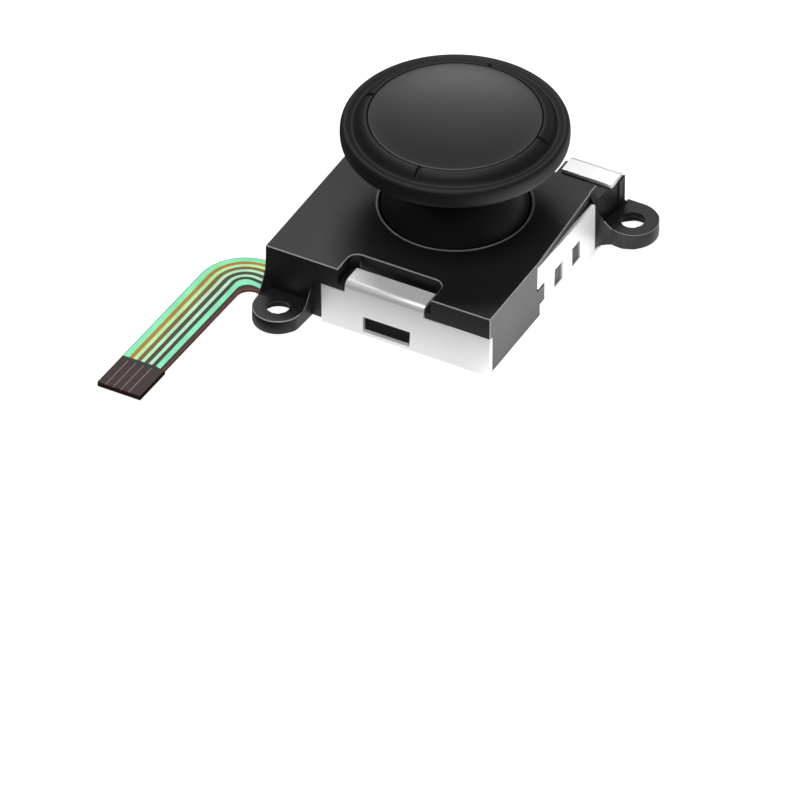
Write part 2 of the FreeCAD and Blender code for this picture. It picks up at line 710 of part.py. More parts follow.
def tail_edge(share, film=False):
    """Plan path of one line along the tail; share 0 is its outer edge and 1 its inner edge."""
    outer_lean = size("flex_outer_lean")
    lean = math.radians(outer_lean - share * (outer_lean + size("flex_inner_lean")))
    slant = math.radians(size("flex_run_lean"))
    across = (0.5 - share) * size("flex_wide")
    exit_way = Vector(-math.cos(lean), -math.sin(lean), 0)
    run_way = Vector(-math.sin(slant), -math.cos(slant), 0)
    run_side = Vector(-math.cos(slant), math.sin(slant), 0)
    inner_exit = size("flex_exit_in") - size("case_front")
    exit_point = Vector(-size("case_left"), inner_exit + (1 - share) * size("flex_exit_wide"), 0)
    run_left = size("case_left") + size("flex_run_out")
    run_point = Vector(-run_left, -size("case_front"), 0) + run_side * across
    meet = exit_way.cross(run_way).z
    reach = (run_point - exit_point).cross(run_way).z / meet
    corner = exit_point + exit_way * reach
    radius = size("flex_bend_outer") + share * (size("flex_bend_inner") - size("flex_bend_outer"))
    if film and share == 1:
        radius = size("flex_film_round")
    turn = exit_way.getAngle(run_way)
    back = radius * math.tan(turn / 2)
    first = corner - exit_way * back
    last = corner + run_way * back
    into = run_way - exit_way
    into.normalize()
    middle = corner + into * (radius / math.cos(turn / 2) - radius)
    length = (size("flex_end_front") + corner.y) / math.cos(slant)
    return exit_point, exit_way, first, middle, last, corner + run_way * length


def ribbon(near, far, low, thick, lead, short=0.0, film=False):
    """A flat strip of the tail between two shares of its width."""
    edges = []
    ends = []
    for share in (near, far):
        exit_point, exit_way, first, middle, last, end = tail_edge(share, film)
        start = exit_point - exit_way * lead
        way = (end - last).normalize()
        end = end - way * short
        ends.append((start, end))
        edges.append([
            Part.LineSegment(start, first).toShape(),
            Part.Arc(first, middle, last).toShape(),
            Part.LineSegment(last, end).toShape(),
        ])
    cap_edges = [
        Part.LineSegment(ends[0][0], ends[1][0]).toShape(),
        Part.LineSegment(ends[0][1], ends[1][1]).toShape(),
    ]
    wire = Part.Wire(Part.__sortEdges__(edges[0] + edges[1] + cap_edges))
    face = Part.Face(wire)
    if face.normalAt(0, 0).z < 0:
        face.reverse()
    solid = face.extrude(Vector(0, 0, thick))
    solid.translate(Vector(0, 0, low))
    return solid


def feature(name, shape):
    """A document object that holds a worked-out shape."""
    thing = doc.addObject("Part::Feature", name)
    thing.Shape = shape
    thing.Placement = FreeCAD.Placement()
    return thing


def box_shape(x0, x1, y0, y1, z0, z1):
    """A plain box as a shape."""
    return Part.makeBox(x1 - x0, y1 - y0, z1 - z0, Vector(x0, y0, z0))


# Flexible circuit: a sheet inside the case and the tail with its conductors.
def make_flex():
    low = size("sheet_thick")
    thick = size("flex_thick")
    inset = size("case_wall") + size("joint_gap")
    inner = box_shape(
        inset - size("case_left"), size("case_right") - inset,
        inset + low - size("case_front"), size("case_back") - inset, low, low + thick)
    lead = size("case_wall") * 2
    tail = ribbon(0.0, 1.0, low, thick, lead, film=True)
    wall_in = size("case_left") - size("case_wall")
    corner = box_shape(
        -wall_in, lead - wall_in, -size("case_front") - MARGIN, inset + low - size("case_front"),
        low, low + thick)
    tail = tail.cut(corner)
    keep("flex_circuit", feature("flex_sheet", inner.fuse(tail).removeSplitter()))
    top = low + thick
    wide = size("flex_wide")
    tail_end = size("contact_long")
    beyond = -size("flex_end_front") - MARGIN
    left = -size("case_left") - size("flex_run_out") - wide
    conductors = []
    pads = []
    for index in range(int(size("trace_count"))):
        centre = (size("trace_first") + index * size("trace_pitch")) / wide
        half = size("trace_wide") / wide / 2
        conductors.append(ribbon(
            centre - half, centre + half, top, size("trace_thick"), 0.0, tail_end))
        whole = ribbon(centre - half, centre + half, top, size("trace_thick"), 0.0)
        end_zone = box_shape(left, 0, beyond, tail_end - size("flex_end_front"), low, low + MARGIN)
        pads.append(whole.common(end_zone))
    keep("flex_conductors", feature("conductor_strips", Part.makeCompound(conductors)))
    zone_low = low - size("stiffener_thick")
    end_zone = box_shape(left, 0, beyond, tail_end - size("flex_end_front"), 0, low)
    strip = ribbon(0.0, 1.0, zone_low, size("stiffener_thick"), 0.0)
    keep("tail_contacts", feature("contact_strips", Part.makeCompound(pads)))
    keep("tail_stiffener", feature("stiffener_plate", strip.common(end_zone)))


# Carbon tracks and switch pads on the circuit.
def make_tracks():
    top = "sheet_thick + flex_thick"
    tracks = []
    for index, side in enumerate((-1, 1)):
        middle = f"track_offset + {side} * track_wide"
        tracks.append(block(
            f"x_track_{index}", "-track_long / 2", "track_long / 2",
            f"-({middle}) - track_wide / 2", f"-({middle}) + track_wide / 2",
            top, f"{top} + track_thick"))
        tracks.append(block(
            f"y_track_{index}", f"-({middle}) - track_wide / 2", f"-({middle}) + track_wide / 2",
            "-track_long / 2", "track_long / 2", top, f"{top} + track_thick"))
    group = doc.addObject("Part::Compound", "track_group")
    group.Links = tracks
    keep("carbon_tracks", group)


# Snap dome of the press switch, with its film.
def make_snap():
    foot = "sheet_thick + flex_thick"
    for label, inside, outside in (
        ("switch_dome", "0", "snap_thick"),
        ("dome_film", "snap_thick", "snap_thick + tape_thick"),
    ):
        body = new_body(label)
        turned(body, f"{label}_shell", [
            (f"snap_radius + {inside}", foot),
            (f"snap_radius + {outside}", foot),
            (f"snap_crown + {outside} / 2", f"{foot} + snap_high + {outside}"),
            ("0", f"{foot} + snap_high + {outside}"),
            ("0", f"{foot} + snap_high + {inside}"),
            (f"snap_crown + {inside} / 2", f"{foot} + snap_high + {inside}"),
        ])
        keep(label, body)


# Inner guide with crossed pockets for the two sliders.
def make_guide():
    low = "sheet_thick + flex_thick + guide_lift"
    middle = rod("guide_middle", "guide_radius", ("0", "0", low), f"guide_top - ({low})")
    flange = block(
        "guide_flange_plate", "case_wall + joint_gap - case_left", "case_right - case_wall - joint_gap",
        "case_wall + sheet_thick + joint_gap - case_front", "case_back - case_wall - joint_gap",
        low, "guide_flange")
    across = "slider_half_wide + slider_travel + slide_gap"
    along = "slider_half_long + slide_gap"
    tools = [
        block("y_pocket", f"-({along})", along, f"-({across})", across, "guide_floor", "guide_top * 2"),
        block("x_pocket", f"-({across})", across, f"-({along})", along, "guide_shelf", "guide_top * 2"),
        rod("snap_well", "snap_radius + joint_gap * 2", ("0", "0", "0"), "guide_top"),
        block("x_wiper_window", "-track_long / 2", "track_long / 2",
              "-track_offset - wiper_window", "-track_offset + wiper_window", "0", "guide_top"),
        block("y_wiper_window", "-track_offset - wiper_window", "-track_offset + wiper_window",
              "-track_long / 2", "track_long / 2", "0", "guide_top"),
    ]
    for index in range(4):
        turn = math.radians(45 + 90 * index)
        tools.append(rod(
            f"pin_hole_{index}", "guide_pin_radius + pin_gap",
            (f"guide_pin_reach * {math.cos(turn):.6f}", f"guide_pin_reach * {math.sin(turn):.6f}",
             "guide_flange"),
            "guide_top"))
    keep("slider_guide", without("guide_cut", joined("guide_solid", [middle, flange]), tools))


# Two crossed sliders with their wipers.
def make_sliders():
    slot_long = "slider_travel + ball_radius + ball_play"
    slot_wide = "ball_radius + ball_play"
    for axis, low in (("x", "guide_shelf + slide_gap"), ("y", "guide_floor + slide_gap")):
        high = f"{low} + slider_thick"
        half = ("slider_half_wide", "slider_half_long")
        slot = (slot_wide, slot_long)
        if axis == "y":
            half = half[::-1]
            slot = slot[::-1]
        plate = block(f"{axis}_plate", f"-{half[0]}", half[0], f"-{half[1]}", half[1], low, high)
        hole = block(f"{axis}_slot", f"-({slot[0]})", slot[0], f"-({slot[1]})", slot[1], "0", "guide_top * 2")
        keep(f"slider_{axis}", without(f"{axis}_slider_cut", plate, [hole]))
        make_wiper(axis, low)


def make_wiper(axis, low):
    """A leaf under a slider with two fingers that reach down to the tracks."""
    touch = "sheet_thick + flex_thick + track_thick + contact_gap"
    half = "track_wide * 1.5"
    end = "wiper_half"
    pieces = [
        wiper_block(axis, "leaf", f"-{end}", end, f"-({half})", half, f"{low} - wiper_sheet", low),
        wiper_block(
            axis, "drop", f"{end} - wiper_sheet", end, f"-({half})", half, f"{touch} + wiper_sheet", low),
    ]
    for index, side in enumerate((-1, 1)):
        centre = f"{side} * track_wide"
        pieces.append(wiper_block(
            axis, f"finger_{index}", f"{end} - finger_long", end,
            f"{centre} - wiper_sheet", f"{centre} + wiper_sheet", touch, f"{touch} + wiper_sheet"))
    keep(f"wiper_{axis}", joined(f"{axis}_wiper", pieces))


def wiper_block(axis, part, a0, a1, b0, b1, z0, z1):
    """A block of a wiper: a along the travel, b across it from the middle of the tracks."""
    name = f"{axis}_wiper_{part}"
    if axis == "x":
        return block(name, a0, a1, f"-track_offset + {b0}", f"-track_offset + {b1}", z0, z1)
    return block(name, f"-track_offset + {b0}", f"-track_offset + {b1}", a0, a1, z0, z1)


# Gimbal ring, press carrier, spring and seat.
def make_gimbal():
    ring = rod("gimbal_blank", "gimbal_outer", ("0", "0", "pivot_height - gimbal_half"), "gimbal_half * 2")
    stub = rod("gimbal_stub", "pin_radius", ("pin_inset - carrier_outer", "0", "pivot_height"),
               "(carrier_outer - pin_inset) * 2", "x")
    bore = rod("gimbal_bore", "gimbal_inner", ("0", "0", "0"), "case_top * 2")
    pin_bore = rod("gimbal_pin_bore", "pin_radius + pin_gap", ("0", "-carrier_inner", "pivot_height"),
                   "carrier_inner * 2", "y")
    keep("gimbal_ring", without("gimbal_cut", joined("gimbal_solid", [ring, stub]), [bore, pin_bore]))

    low = "pivot_height - carrier_half"
    half = "carrier_outer"
    blank = [block("carrier_blank", f"-{half}", half, f"-{half}", half, low, f"{low} + carrier_half * 2")]
    for index in range(4):
        turn = math.radians(45 + 90 * index)
        place = (f"guide_pin_reach * {math.cos(turn):.6f}", f"guide_pin_reach * {math.sin(turn):.6f}")
        blank.append(rod(
            f"carrier_pin_{index}", "guide_pin_radius", (*place, "guide_pin_low"),
            f"{low} - guide_pin_low + pin_inset"))
    tools = [
        rod("carrier_bore", "carrier_inner", ("0", "0", "0"), "case_top * 2"),
        rod("carrier_pin_bore", "pin_radius + pin_gap", ("-carrier_outer * 2", "0", "pivot_height"),
            "carrier_outer * 4", "x"),
    ]
    keep("press_carrier", without("carrier_cut", joined("carrier_solid", blank), tools))

    seat_low = "pivot_height + carrier_half"
    washer = rod("seat_blank", "carrier_outer", ("0", "0", seat_low), "seat_thick")
    seat_bore = rod("seat_bore", "carrier_inner", ("0", "0", "0"), "case_top * 2")
    keep("spring_seat", without("seat_cut", washer, [seat_bore]))
    make_spring()


def make_spring():
    """Coil spring between its seat and the inside of the dome."""
    wire = size("spring_wire")
    mean = size("spring_radius")
    low = size("pivot_height") + size("carrier_half") + size("seat_thick") + wire / 2
    inner = size("dome_radius") - size("dome_wall")
    reach = math.sqrt(inner * inner - (mean + wire) * (mean + wire))
    high = size("pivot_height") + reach - wire
    helix = Part.makeHelix((high - low) / size("spring_turns"), high - low, mean)
    helix.translate(Vector(0, 0, low))
    sides = int(size("spring_sides"))
    corners = []
    for index in range(sides + 1):
        turn = 2 * math.pi * index / sides
        corners.append(Vector(mean + wire / 2 * math.cos(turn), 0, low + wire / 2 * math.sin(turn)))
    profile = Part.makePolygon(corners)
    coil = Part.Wire(helix.Edges).makePipeShell([profile], True, True)
    keep("return_spring", feature("spring_coil", coil))


# Lever with its hub, cross pins and drive ball.
def make_lever():
    body = new_body("lever")
    waist = "pivot_height - gimbal_half - hub_slope"
    turned(body, "lever_solid", [
        ("0", "ball_height"),
        ("lever_radius", "ball_height"),
        ("lever_radius", waist),
        ("hub_radius", "pivot_height - gimbal_half"),
        ("hub_radius", "pivot_height + gimbal_half"),
        ("stem_radius", "pivot_height + carrier_half + seat_thick * 2"),
        ("stem_radius", "stem_top"),
        ("0", "stem_top"),
    ])
    doc.recompute()
    parts = [
        body,
        ball("drive_ball", "ball_radius", "ball_height"),
        rod("cross_pin", "pin_radius", ("0", "-gimbal_outer", "pivot_height"), "gimbal_outer * 2", "y"),
    ]
    keep("lever", joined("lever_joined", parts))


# Dust dome under the cap: a ball shell about the pivot that runs into a neck.
# Its hidden inside is made of flats, which meet at these angles above the pivot's level.
def make_dome():
    inner = "(dome_radius - dome_wall)"
    foot = "(neck_radius + neck_blend)"
    foot_top = f"pivot_height + sqrt(dome_radius^2 - {foot}^2)"
    ceiling = f"pivot_height + sqrt({inner}^2 - stem_radius^2)"
    flats = (57, 38, 20)
    dome = new_body("dome")
    turned(dome, "dome_solid", [
        ("sqrt(dome_radius^2 - (skirt_low - pivot_height)^2)", "skirt_low", "dome_radius"),
        (foot, foot_top),
        ("neck_radius + neck_blend * (1 - blend_low)", f"{foot_top} + neck_blend * blend_high"),
        ("neck_radius", f"{foot_top} + neck_blend"),
        ("neck_radius", "cap_under - core_drop"),
        ("stem_radius", "cap_under - core_drop"),
        ("stem_radius", ceiling),
        *[(f"{inner} * cos({turn}deg)", f"pivot_height + {inner} * sin({turn}deg)")
          for turn in flats],
        (f"sqrt({inner}^2 - (skirt_low - pivot_height)^2)", "skirt_low"),
    ])
    keep("dust_dome", dome)


# Cap: hard core, soft ring and top disc.
def make_cap():
    shelf = "cap_seam_top - disc_thick"
    collar = "neck_radius + core_collar"
    core = new_body("core")
    turned(core, "core_solid", [
        ("stem_radius", "cap_under - core_drop"),
        (collar, "cap_under - core_drop"),
        ("seam_radius", "cap_under - under_drop"),
        ("seam_radius", shelf),
        ("stem_radius", shelf),
    ])
    keep("cap_core", core)

    ring = new_body("ring")
    turned(ring, "ring_solid", [
        ("seam_radius", "cap_under - under_drop"),
        ("cap_radius - lip_round", "cap_under"),
        ("cap_radius", "cap_under + lip_round"),
        ("cap_radius", "cap_lip_top - lip_round"),
        ("cap_radius - lip_flat", "cap_lip_top - lip_flat"),
        ("cap_radius - lip_round", "cap_lip_top"),
        ("ring_valley_radius + valley_half", "ring_valley_top"),
        ("ring_valley_radius - valley_half", "ring_valley_top"),
        ("seam_radius + roll_wide", "cap_seam_top - roll_drop"),
        ("seam_radius + roll_flat", "cap_seam_top - roll_fall"),
        ("seam_radius", "cap_seam_top"),
    ])
    grooves = [make_groove(index) for index in range(4)]
    keep("cap_ring", without("ring_cut", ring, grooves))

    disc = new_body("disc")
    rim = "seam_radius - seam_gap - disc_chamfer"
    turned(disc, "disc_solid", [
        ("0", shelf),
        ("seam_radius - seam_gap", shelf),
        ("seam_radius - seam_gap", "cap_seam_top - disc_chamfer"),
        (rim, "cap_seam_top"),
        ("dish_radius", "cap_seam_top - dish_inner"),
        ("0", "cap_seam_top - disc_dish"),
    ])
    keep("cap_disc", disc)


def make_groove(index):
    """One of the four short grooves across the ring's roll."""
    turn = math.radians(size("grip_groove_turn") + 90 * index)
    start = size("seam_radius") - size("grip_groove_wide")
    half = size("grip_groove_wide") / 2
    groove = doc.addObject("Part::Box", f"grip_groove_{index}")
    bind(groove, "Length", "grip_groove_long + grip_groove_wide")
    bind(groove, "Width", "grip_groove_wide")
    bind(groove, "Height", "disc_thick")
    corner = Vector(
        start * math.cos(turn) + half * math.sin(turn),
        start * math.sin(turn) - half * math.cos(turn),
        size("cap_seam_top") - size("grip_groove_deep"))
    groove.Placement = FreeCAD.Placement(corner, FreeCAD.Rotation(Vector(0, 0, 1), math.degrees(turn)))
    return groove


make_case()
make_frame()
make_flex()
make_tracks()
make_snap()
make_guide()
make_sliders()
make_gimbal()
make_lever()
make_dome()
make_cap()
doc.recompute()

faults = [thing.Label for thing in doc.Objects if "Invalid" in thing.State or "Error" in thing.State]
for label, thing in NODES.items():
    shape = thing.Shape
    if shape.isNull() or not shape.isValid() or not shape.Solids:
        faults.append(label)
if faults:
    raise RuntimeError(f"these objects failed: {faults}")

os.makedirs("parts", exist_ok=True)
for label, thing in NODES.items():
    thing.Shape.exportStep(f"parts/{label}.step")
    print(label, len(thing.Shape.Solids), round(thing.Shape.Volume, 3))
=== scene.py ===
import bpy
import math
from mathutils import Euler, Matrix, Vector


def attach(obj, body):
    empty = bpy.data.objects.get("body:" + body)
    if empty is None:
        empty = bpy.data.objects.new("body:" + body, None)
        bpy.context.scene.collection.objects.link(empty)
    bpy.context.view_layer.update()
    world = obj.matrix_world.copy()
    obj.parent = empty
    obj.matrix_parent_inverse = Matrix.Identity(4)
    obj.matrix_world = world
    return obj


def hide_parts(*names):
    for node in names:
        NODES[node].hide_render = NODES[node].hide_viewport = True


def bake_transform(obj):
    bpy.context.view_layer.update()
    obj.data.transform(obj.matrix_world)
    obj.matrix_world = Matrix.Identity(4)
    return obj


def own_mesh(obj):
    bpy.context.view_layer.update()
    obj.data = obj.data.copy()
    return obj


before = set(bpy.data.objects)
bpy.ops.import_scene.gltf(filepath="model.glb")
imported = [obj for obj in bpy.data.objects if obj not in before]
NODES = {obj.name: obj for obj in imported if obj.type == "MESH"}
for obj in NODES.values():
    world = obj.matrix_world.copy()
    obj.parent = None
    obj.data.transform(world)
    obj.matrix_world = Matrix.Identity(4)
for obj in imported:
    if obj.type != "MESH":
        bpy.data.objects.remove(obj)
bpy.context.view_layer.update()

# The frame is in metres. Sizes and places below are written in millimetres, angles in degrees.
MM = 0.001

# The photograph's view of the module, fitted to the case's corners, the mouth and the seam.
VIEW_AZIMUTH = 28.1
VIEW_ELEVATION = 38.15
VIEW_DISTANCE = 762
PIXELS_PER_MM = 15.4
IMAGE_SIZE = 800
AIM_POINT = Vector((-0.308, -0.763, 4.3))
AIM_PIXEL = (445.4, 212.7)
SENSOR = 36.0

# Lathed pieces: steps round the stick's axis.
LATHE_STEPS = 96

# Cap: the seam between ring and disc, the ring's bore and wall, and the disc.
SEAM = 11.83
RING_BORE = 5.70
RING_WALL = 7.48
RING_FOOT = 9.47
DISC_RADIUS = 5.67
DISC_UNDERSIDE = 11.10

# Grooves across the ring's roll.
GROOVES = 4
GROOVE_TURN = 5.0
GROOVE_TILT = 24
GROOVE_FROM_AXIS = 6.15
GROOVE_RADIUS = 0.15
GROOVE_LENGTH = 1.02
GROOVE_STRETCH = 1.5

# Dust dome: two ball faces about the pivot of the tilt, and the neck.
DOME_PIVOT = 3.1
DOME_RADIUS = 5.15
DOME_INSIDE = 4.75
NECK_RADIUS = 2.30
NECK_BORE = 1.12
NECK_TOP = 8.77

# Edges of the case and of the frame: which count as sharp, and how wide they are broken.
SHARP = 35
CASE_BREAK = 0.055
SHEET_BREAK = 0.03

# Case: its right side, the foot of its rounded top edges, and the corner in front on the right; the
# painted highlight on the case's broken edges runs above that foot and down that corner.
CASE_SIDE = 7.75
TOP_EDGES = 4.6
CORNER_RIGHT = 7.65
CORNER_FRONT = -9.65

# Ears: the axes of their screw holes, how far the holes and rims lie from them, and heights; the
# holes' walls are painted in shade and the outer rims carry a painted highlight.
LEFT_EAR = (-7.05, -11.13)
RIGHT_EAR = (9.05, 7.64)
SCREW_HOLE = 1.2
LEFT_RIM = 1.55
RIGHT_RIM = 1.6
RIM_FOOT = 1.2
EAR_TOP = 1.4

# Bead round the mouth: its foot, and the narrow ring of it that carries a painted highlight.
BEAD_FOOT = 4.60
BEAD_SHOULDER = 4.70
BRIGHT_FROM = 5.06
BRIGHT_TO = 5.17

# Room behind the frame's front window, which is painted in shade.
ROOM_FRONT = -9.72
ROOM_BACK = -6.0
ROOM_SIDE = 6
ROOM_TOP = 3.4

# Which of the case's finishes a face wears: plain, a painted highlight on a broken edge, a painted
# highlight on the mouth's rim, or painted shade.
PLAIN = 0
BROKEN = 1
MOUTH_HIGHLIGHT = 2
PAINTED_SHADE = 3

# Skin that carries the right side back to the rear sheet.
SKIN = 0.045
SKIN_FRONT = 8.2
SKIN_BACK = 9.04
SKIN_FOOT = 0.6
SKIN_TOP = 3.6

# Right ear's far ridge, the hollow that runs it down, and places well clear of the case there.
RIDGE_FRONT = 8.66
RIDGE_BACK = 9.06
HOLLOW_ACROSS = 8.50
HOLLOW_HEIGHT = 2.11
HOLLOW_RADIUS = 0.75
HOLLOW_MIDDLE = 8.62
HOLLOW_DEPTH = 0.9
FAR_RIGHT = 11.5
FAR_BACK = 11.5
FAR_UP = 5.0

# Return spring: its seat, its middle, where it is cut in two, and the lever's underside.
SPRING_SEAT = 3.92
SPRING_MIDDLE = 5.42
SPRING_TOP = 6.92

# Flexible circuit: the top of its film, which also carries the snap dome.
FILM_TOP = 0.42

# Tail: its width, the corner of the case that it passes, and the printed cover's thickness.
TAIL_WIDE = 3.14
CASE_LEFT = 8.70
CASE_FRONT = 9.75
COVER_SHEET = 0.042

# The tail leaves the case as a fan of lines, bends forward and runs on to its end.
EXIT_LEAN = 9.0
EXIT_FAN = 20.5
EXIT_GAP = 0.09
EXIT_WIDE = 3.6
RUN_SLANT = 2.0
RUN_MIDDLE = 3.35
RUN_REACH = 12.75
OUTER_BEND = 3.3
INNER_BEND = 0.05
LEAST_BEND = 0.9

# Grid of the cover: the exit and the bend take one share of its length each, the run takes three.
CELLS_ACROSS = 24
CELLS_ALONG = 60
SHARES = 5
RUN_SHARES = 3

# Dark end zone with its contacts, and the bare edge of the cover before it.
RUN_LENGTH = 14.3
END_ZONE = 3.1
BARE_EDGE = 0.35
CONTACTS = 5
CONTACT_FIRST = 0.31
CONTACT_PITCH = 0.565
END_START = (SHARES - RUN_SHARES * END_ZONE / RUN_LENGTH) / SHARES
EDGE_START = END_START - RUN_SHARES * BARE_EDGE / RUN_LENGTH / SHARES

# Studio.
WORLD_LIGHT = 0.17
LIGHT_DISTANCE = 300
LIGHT_AIM = 5
FLOOR_HEIGHT = -0.02
FLOOR_SIZE = 1000


def toward(azimuth, elevation):
    """The direction of a place seen from the module; azimuth 0 is the front, 90 the right side."""
    side = math.radians(azimuth)
    rise = math.radians(elevation)
    return Vector((
        math.sin(side) * math.cos(rise),
        -math.cos(side) * math.cos(rise),
        math.sin(rise),
    ))


def make_camera():
    """A long lens at the photograph's place, turned so that the aim point falls on its pixel."""
    back = toward(VIEW_AZIMUTH, VIEW_ELEVATION)
    focal_pixels = PIXELS_PER_MM * VIEW_DISTANCE
    data = bpy.data.cameras.new("photo_camera")
    data.sensor_width = SENSOR
    data.lens = focal_pixels * SENSOR / IMAGE_SIZE
    data.clip_start = 10 * MM
    data.clip_end = 10000 * MM
    camera = bpy.data.objects.new("photo_camera", data)
    bpy.context.collection.objects.link(camera)
    turn = (-back).to_track_quat("-Z", "Y").to_matrix()
    side = math.atan((AIM_PIXEL[0] - IMAGE_SIZE / 2) / focal_pixels)
    rise = math.atan((IMAGE_SIZE / 2 - AIM_PIXEL[1]) / focal_pixels)
    nudge = Euler((-rise, side, 0)).to_matrix()
    camera.location = (AIM_POINT + back * VIEW_DISTANCE) * MM
    camera.rotation_euler = (turn @ nudge).to_euler()
    bpy.context.scene.camera = camera


# Shared effects: node groups for grain and for rolled sheet.


class Wiring:
    """Adds nodes to a tree and links them by name."""

    def __init__(self, tree):
        self.tree = tree

    def node(self, kind, **settings):
        made = self.tree.nodes.new(kind)
        for word, value in settings.items():
            setattr(made, word, value)
        return made

    def link(self, source, socket, target, entry):
        self.tree.links.new(source.outputs[socket], target.inputs[entry])

    def math(self, operation, first, second):
        """One operation on two values; each is a number or a node with its socket."""
        made = self.node("ShaderNodeMath", operation=operation)
        for index, value in enumerate((first, second)):
            if isinstance(value, tuple):
                self.link(*value, made, index)
            else:
                made.inputs[index].default_value = value
        return made, 0

    def noise(self, vector, detail, scale):
        """A noise over a vector; its scale is a number or a node with its socket."""
        made = self.node("ShaderNodeTexNoise", noise_dimensions="3D")
        made.inputs["Detail"].default_value = detail
        self.link(*vector, made, "Vector")
        if isinstance(scale, tuple):
            self.link(*scale, made, "Scale")
        else:
            made.inputs["Scale"].default_value = scale
        return made


def new_group(name, inputs):
    """A node group with number inputs that puts out a height, a roughness and a tone."""
    group = bpy.data.node_groups.new(name, "ShaderNodeTree")
    for label, default in inputs:
        socket = group.interface.new_socket(label, in_out="INPUT", socket_type="NodeSocketFloat")
        socket.default_value = default
    for label in ("Height", "Roughness", "Tone"):
        group.interface.new_socket(label, in_out="OUTPUT", socket_type="NodeSocketFloat")
    return group


def finish_group(wire, entry, fine, slow):
    """Puts out a fine noise as height and a slow one as tone and as a swing of the roughness."""
    centred = wire.math("SUBTRACT", (slow, "Fac"), 0.5)
    swing = wire.math("MULTIPLY", centred, (entry, "Spread"))
    double = wire.math("MULTIPLY", swing, 2.0)
    rough = wire.math("ADD", (entry, "Roughness"), double)
    leave = wire.node("NodeGroupOutput")
    wire.link(fine, "Fac", leave, "Height")
    wire.link(*rough, leave, "Roughness")
    wire.link(slow, "Fac", leave, "Tone")


def make_grain_group():
    """Fine spark-eroded grain of a mould, with a slow drift of gloss."""
    group = new_group(
        "moulded_grain",
        [("Grains per mm", 12.0), ("Drift per mm", 0.35), ("Roughness", 0.4), ("Spread", 0.06)])
    wire = Wiring(group)
    entry = wire.node("NodeGroupInput")
    place = wire.node("ShaderNodeTexCoord")
    fine_scale = wire.math("MULTIPLY", (entry, "Grains per mm"), 1 / MM)
    slow_scale = wire.math("MULTIPLY", (entry, "Drift per mm"), 1 / MM)
    fine = wire.noise((place, "Object"), 3.0, fine_scale)
    slow = wire.noise((place, "Object"), 2.0, slow_scale)
    finish_group(wire, entry, fine, slow)
    return group


def make_rolled_group():
    """Fine rolling lines of sheet metal along X, with faint handling marks."""
    group = new_group(
        "rolled_sheet", [("Lines per mm", 9.0), ("Roughness", 0.35), ("Spread", 0.08)])
    wire = Wiring(group)
    entry = wire.node("NodeGroupInput")
    place = wire.node("ShaderNodeTexCoord")
    stretch = wire.node("ShaderNodeMapping")
    stretch.inputs["Scale"].default_value = (0.06, 1.0, 1.0)
    wire.link(place, "Object", stretch, "Vector")
    scale = wire.math("MULTIPLY", (entry, "Lines per mm"), 1 / MM)
    lines = wire.noise((stretch, "Vector"), 4.0, scale)
    marks = wire.noise((place, "Object"), 3.0, 0.45 / MM)
    finish_group(wire, entry, lines, marks)
    return group


GRAIN = make_grain_group()
ROLLED = make_rolled_group()


# Materials.


def new_material(name):
    """A material with only a Principled shader, and its wiring."""
    material = bpy.data.materials.new(name)
    material.use_nodes = True
    shader = material.node_tree.nodes["Principled BSDF"]
    return material, shader, Wiring(material.node_tree)


def wear_effect(wire, shader, group, settings, dark, light, depth):
    """Colours a shader between two near tones by a shared effect, with its gloss and its relief."""
    effect = wire.node("ShaderNodeGroup", node_tree=group)
    for label, value in settings.items():
        effect.inputs[label].default_value = value
    tone = wire.node("ShaderNodeMix", data_type="RGBA")
    wire.link(effect, "Tone", tone, 0)
    tone.inputs[6].default_value = (*dark, 1)
    tone.inputs[7].default_value = (*light, 1)
    wire.link(tone, 2, shader, "Base Color")
    wire.link(effect, "Roughness", shader, "Roughness")
    bump = wire.node("ShaderNodeBump")
    bump.inputs["Strength"].default_value = 1.0
    bump.inputs["Distance"].default_value = depth * MM
    wire.link(effect, "Height", bump, "Height")
    wire.link(bump, "Normal", shader, "Normal")


def plastic(name, dark, light, rough, ior=1.45, grains=12.0, depth=0.0006, spread=0.05):
    """Moulded plastic or rubber: two near tones, fine grain and a drift of gloss."""
    material, shader, wire = new_material(name)
    settings = {"Grains per mm": grains, "Roughness": rough, "Spread": spread}
    wear_effect(wire, shader, GRAIN, settings, dark, light, depth)
    shader.inputs["IOR"].default_value = ior
    return material


def metal(name, dark, light, rough, metallic=1.0):
    """Rolled sheet metal or drawn wire."""
    material, shader, wire = new_material(name)
    settings = {"Lines per mm": 9.0, "Roughness": rough, "Spread": 0.06}
    wear_effect(wire, shader, ROLLED, settings, dark, light, depth=0.0008)
    shader.inputs["Metallic"].default_value = metallic
    return material


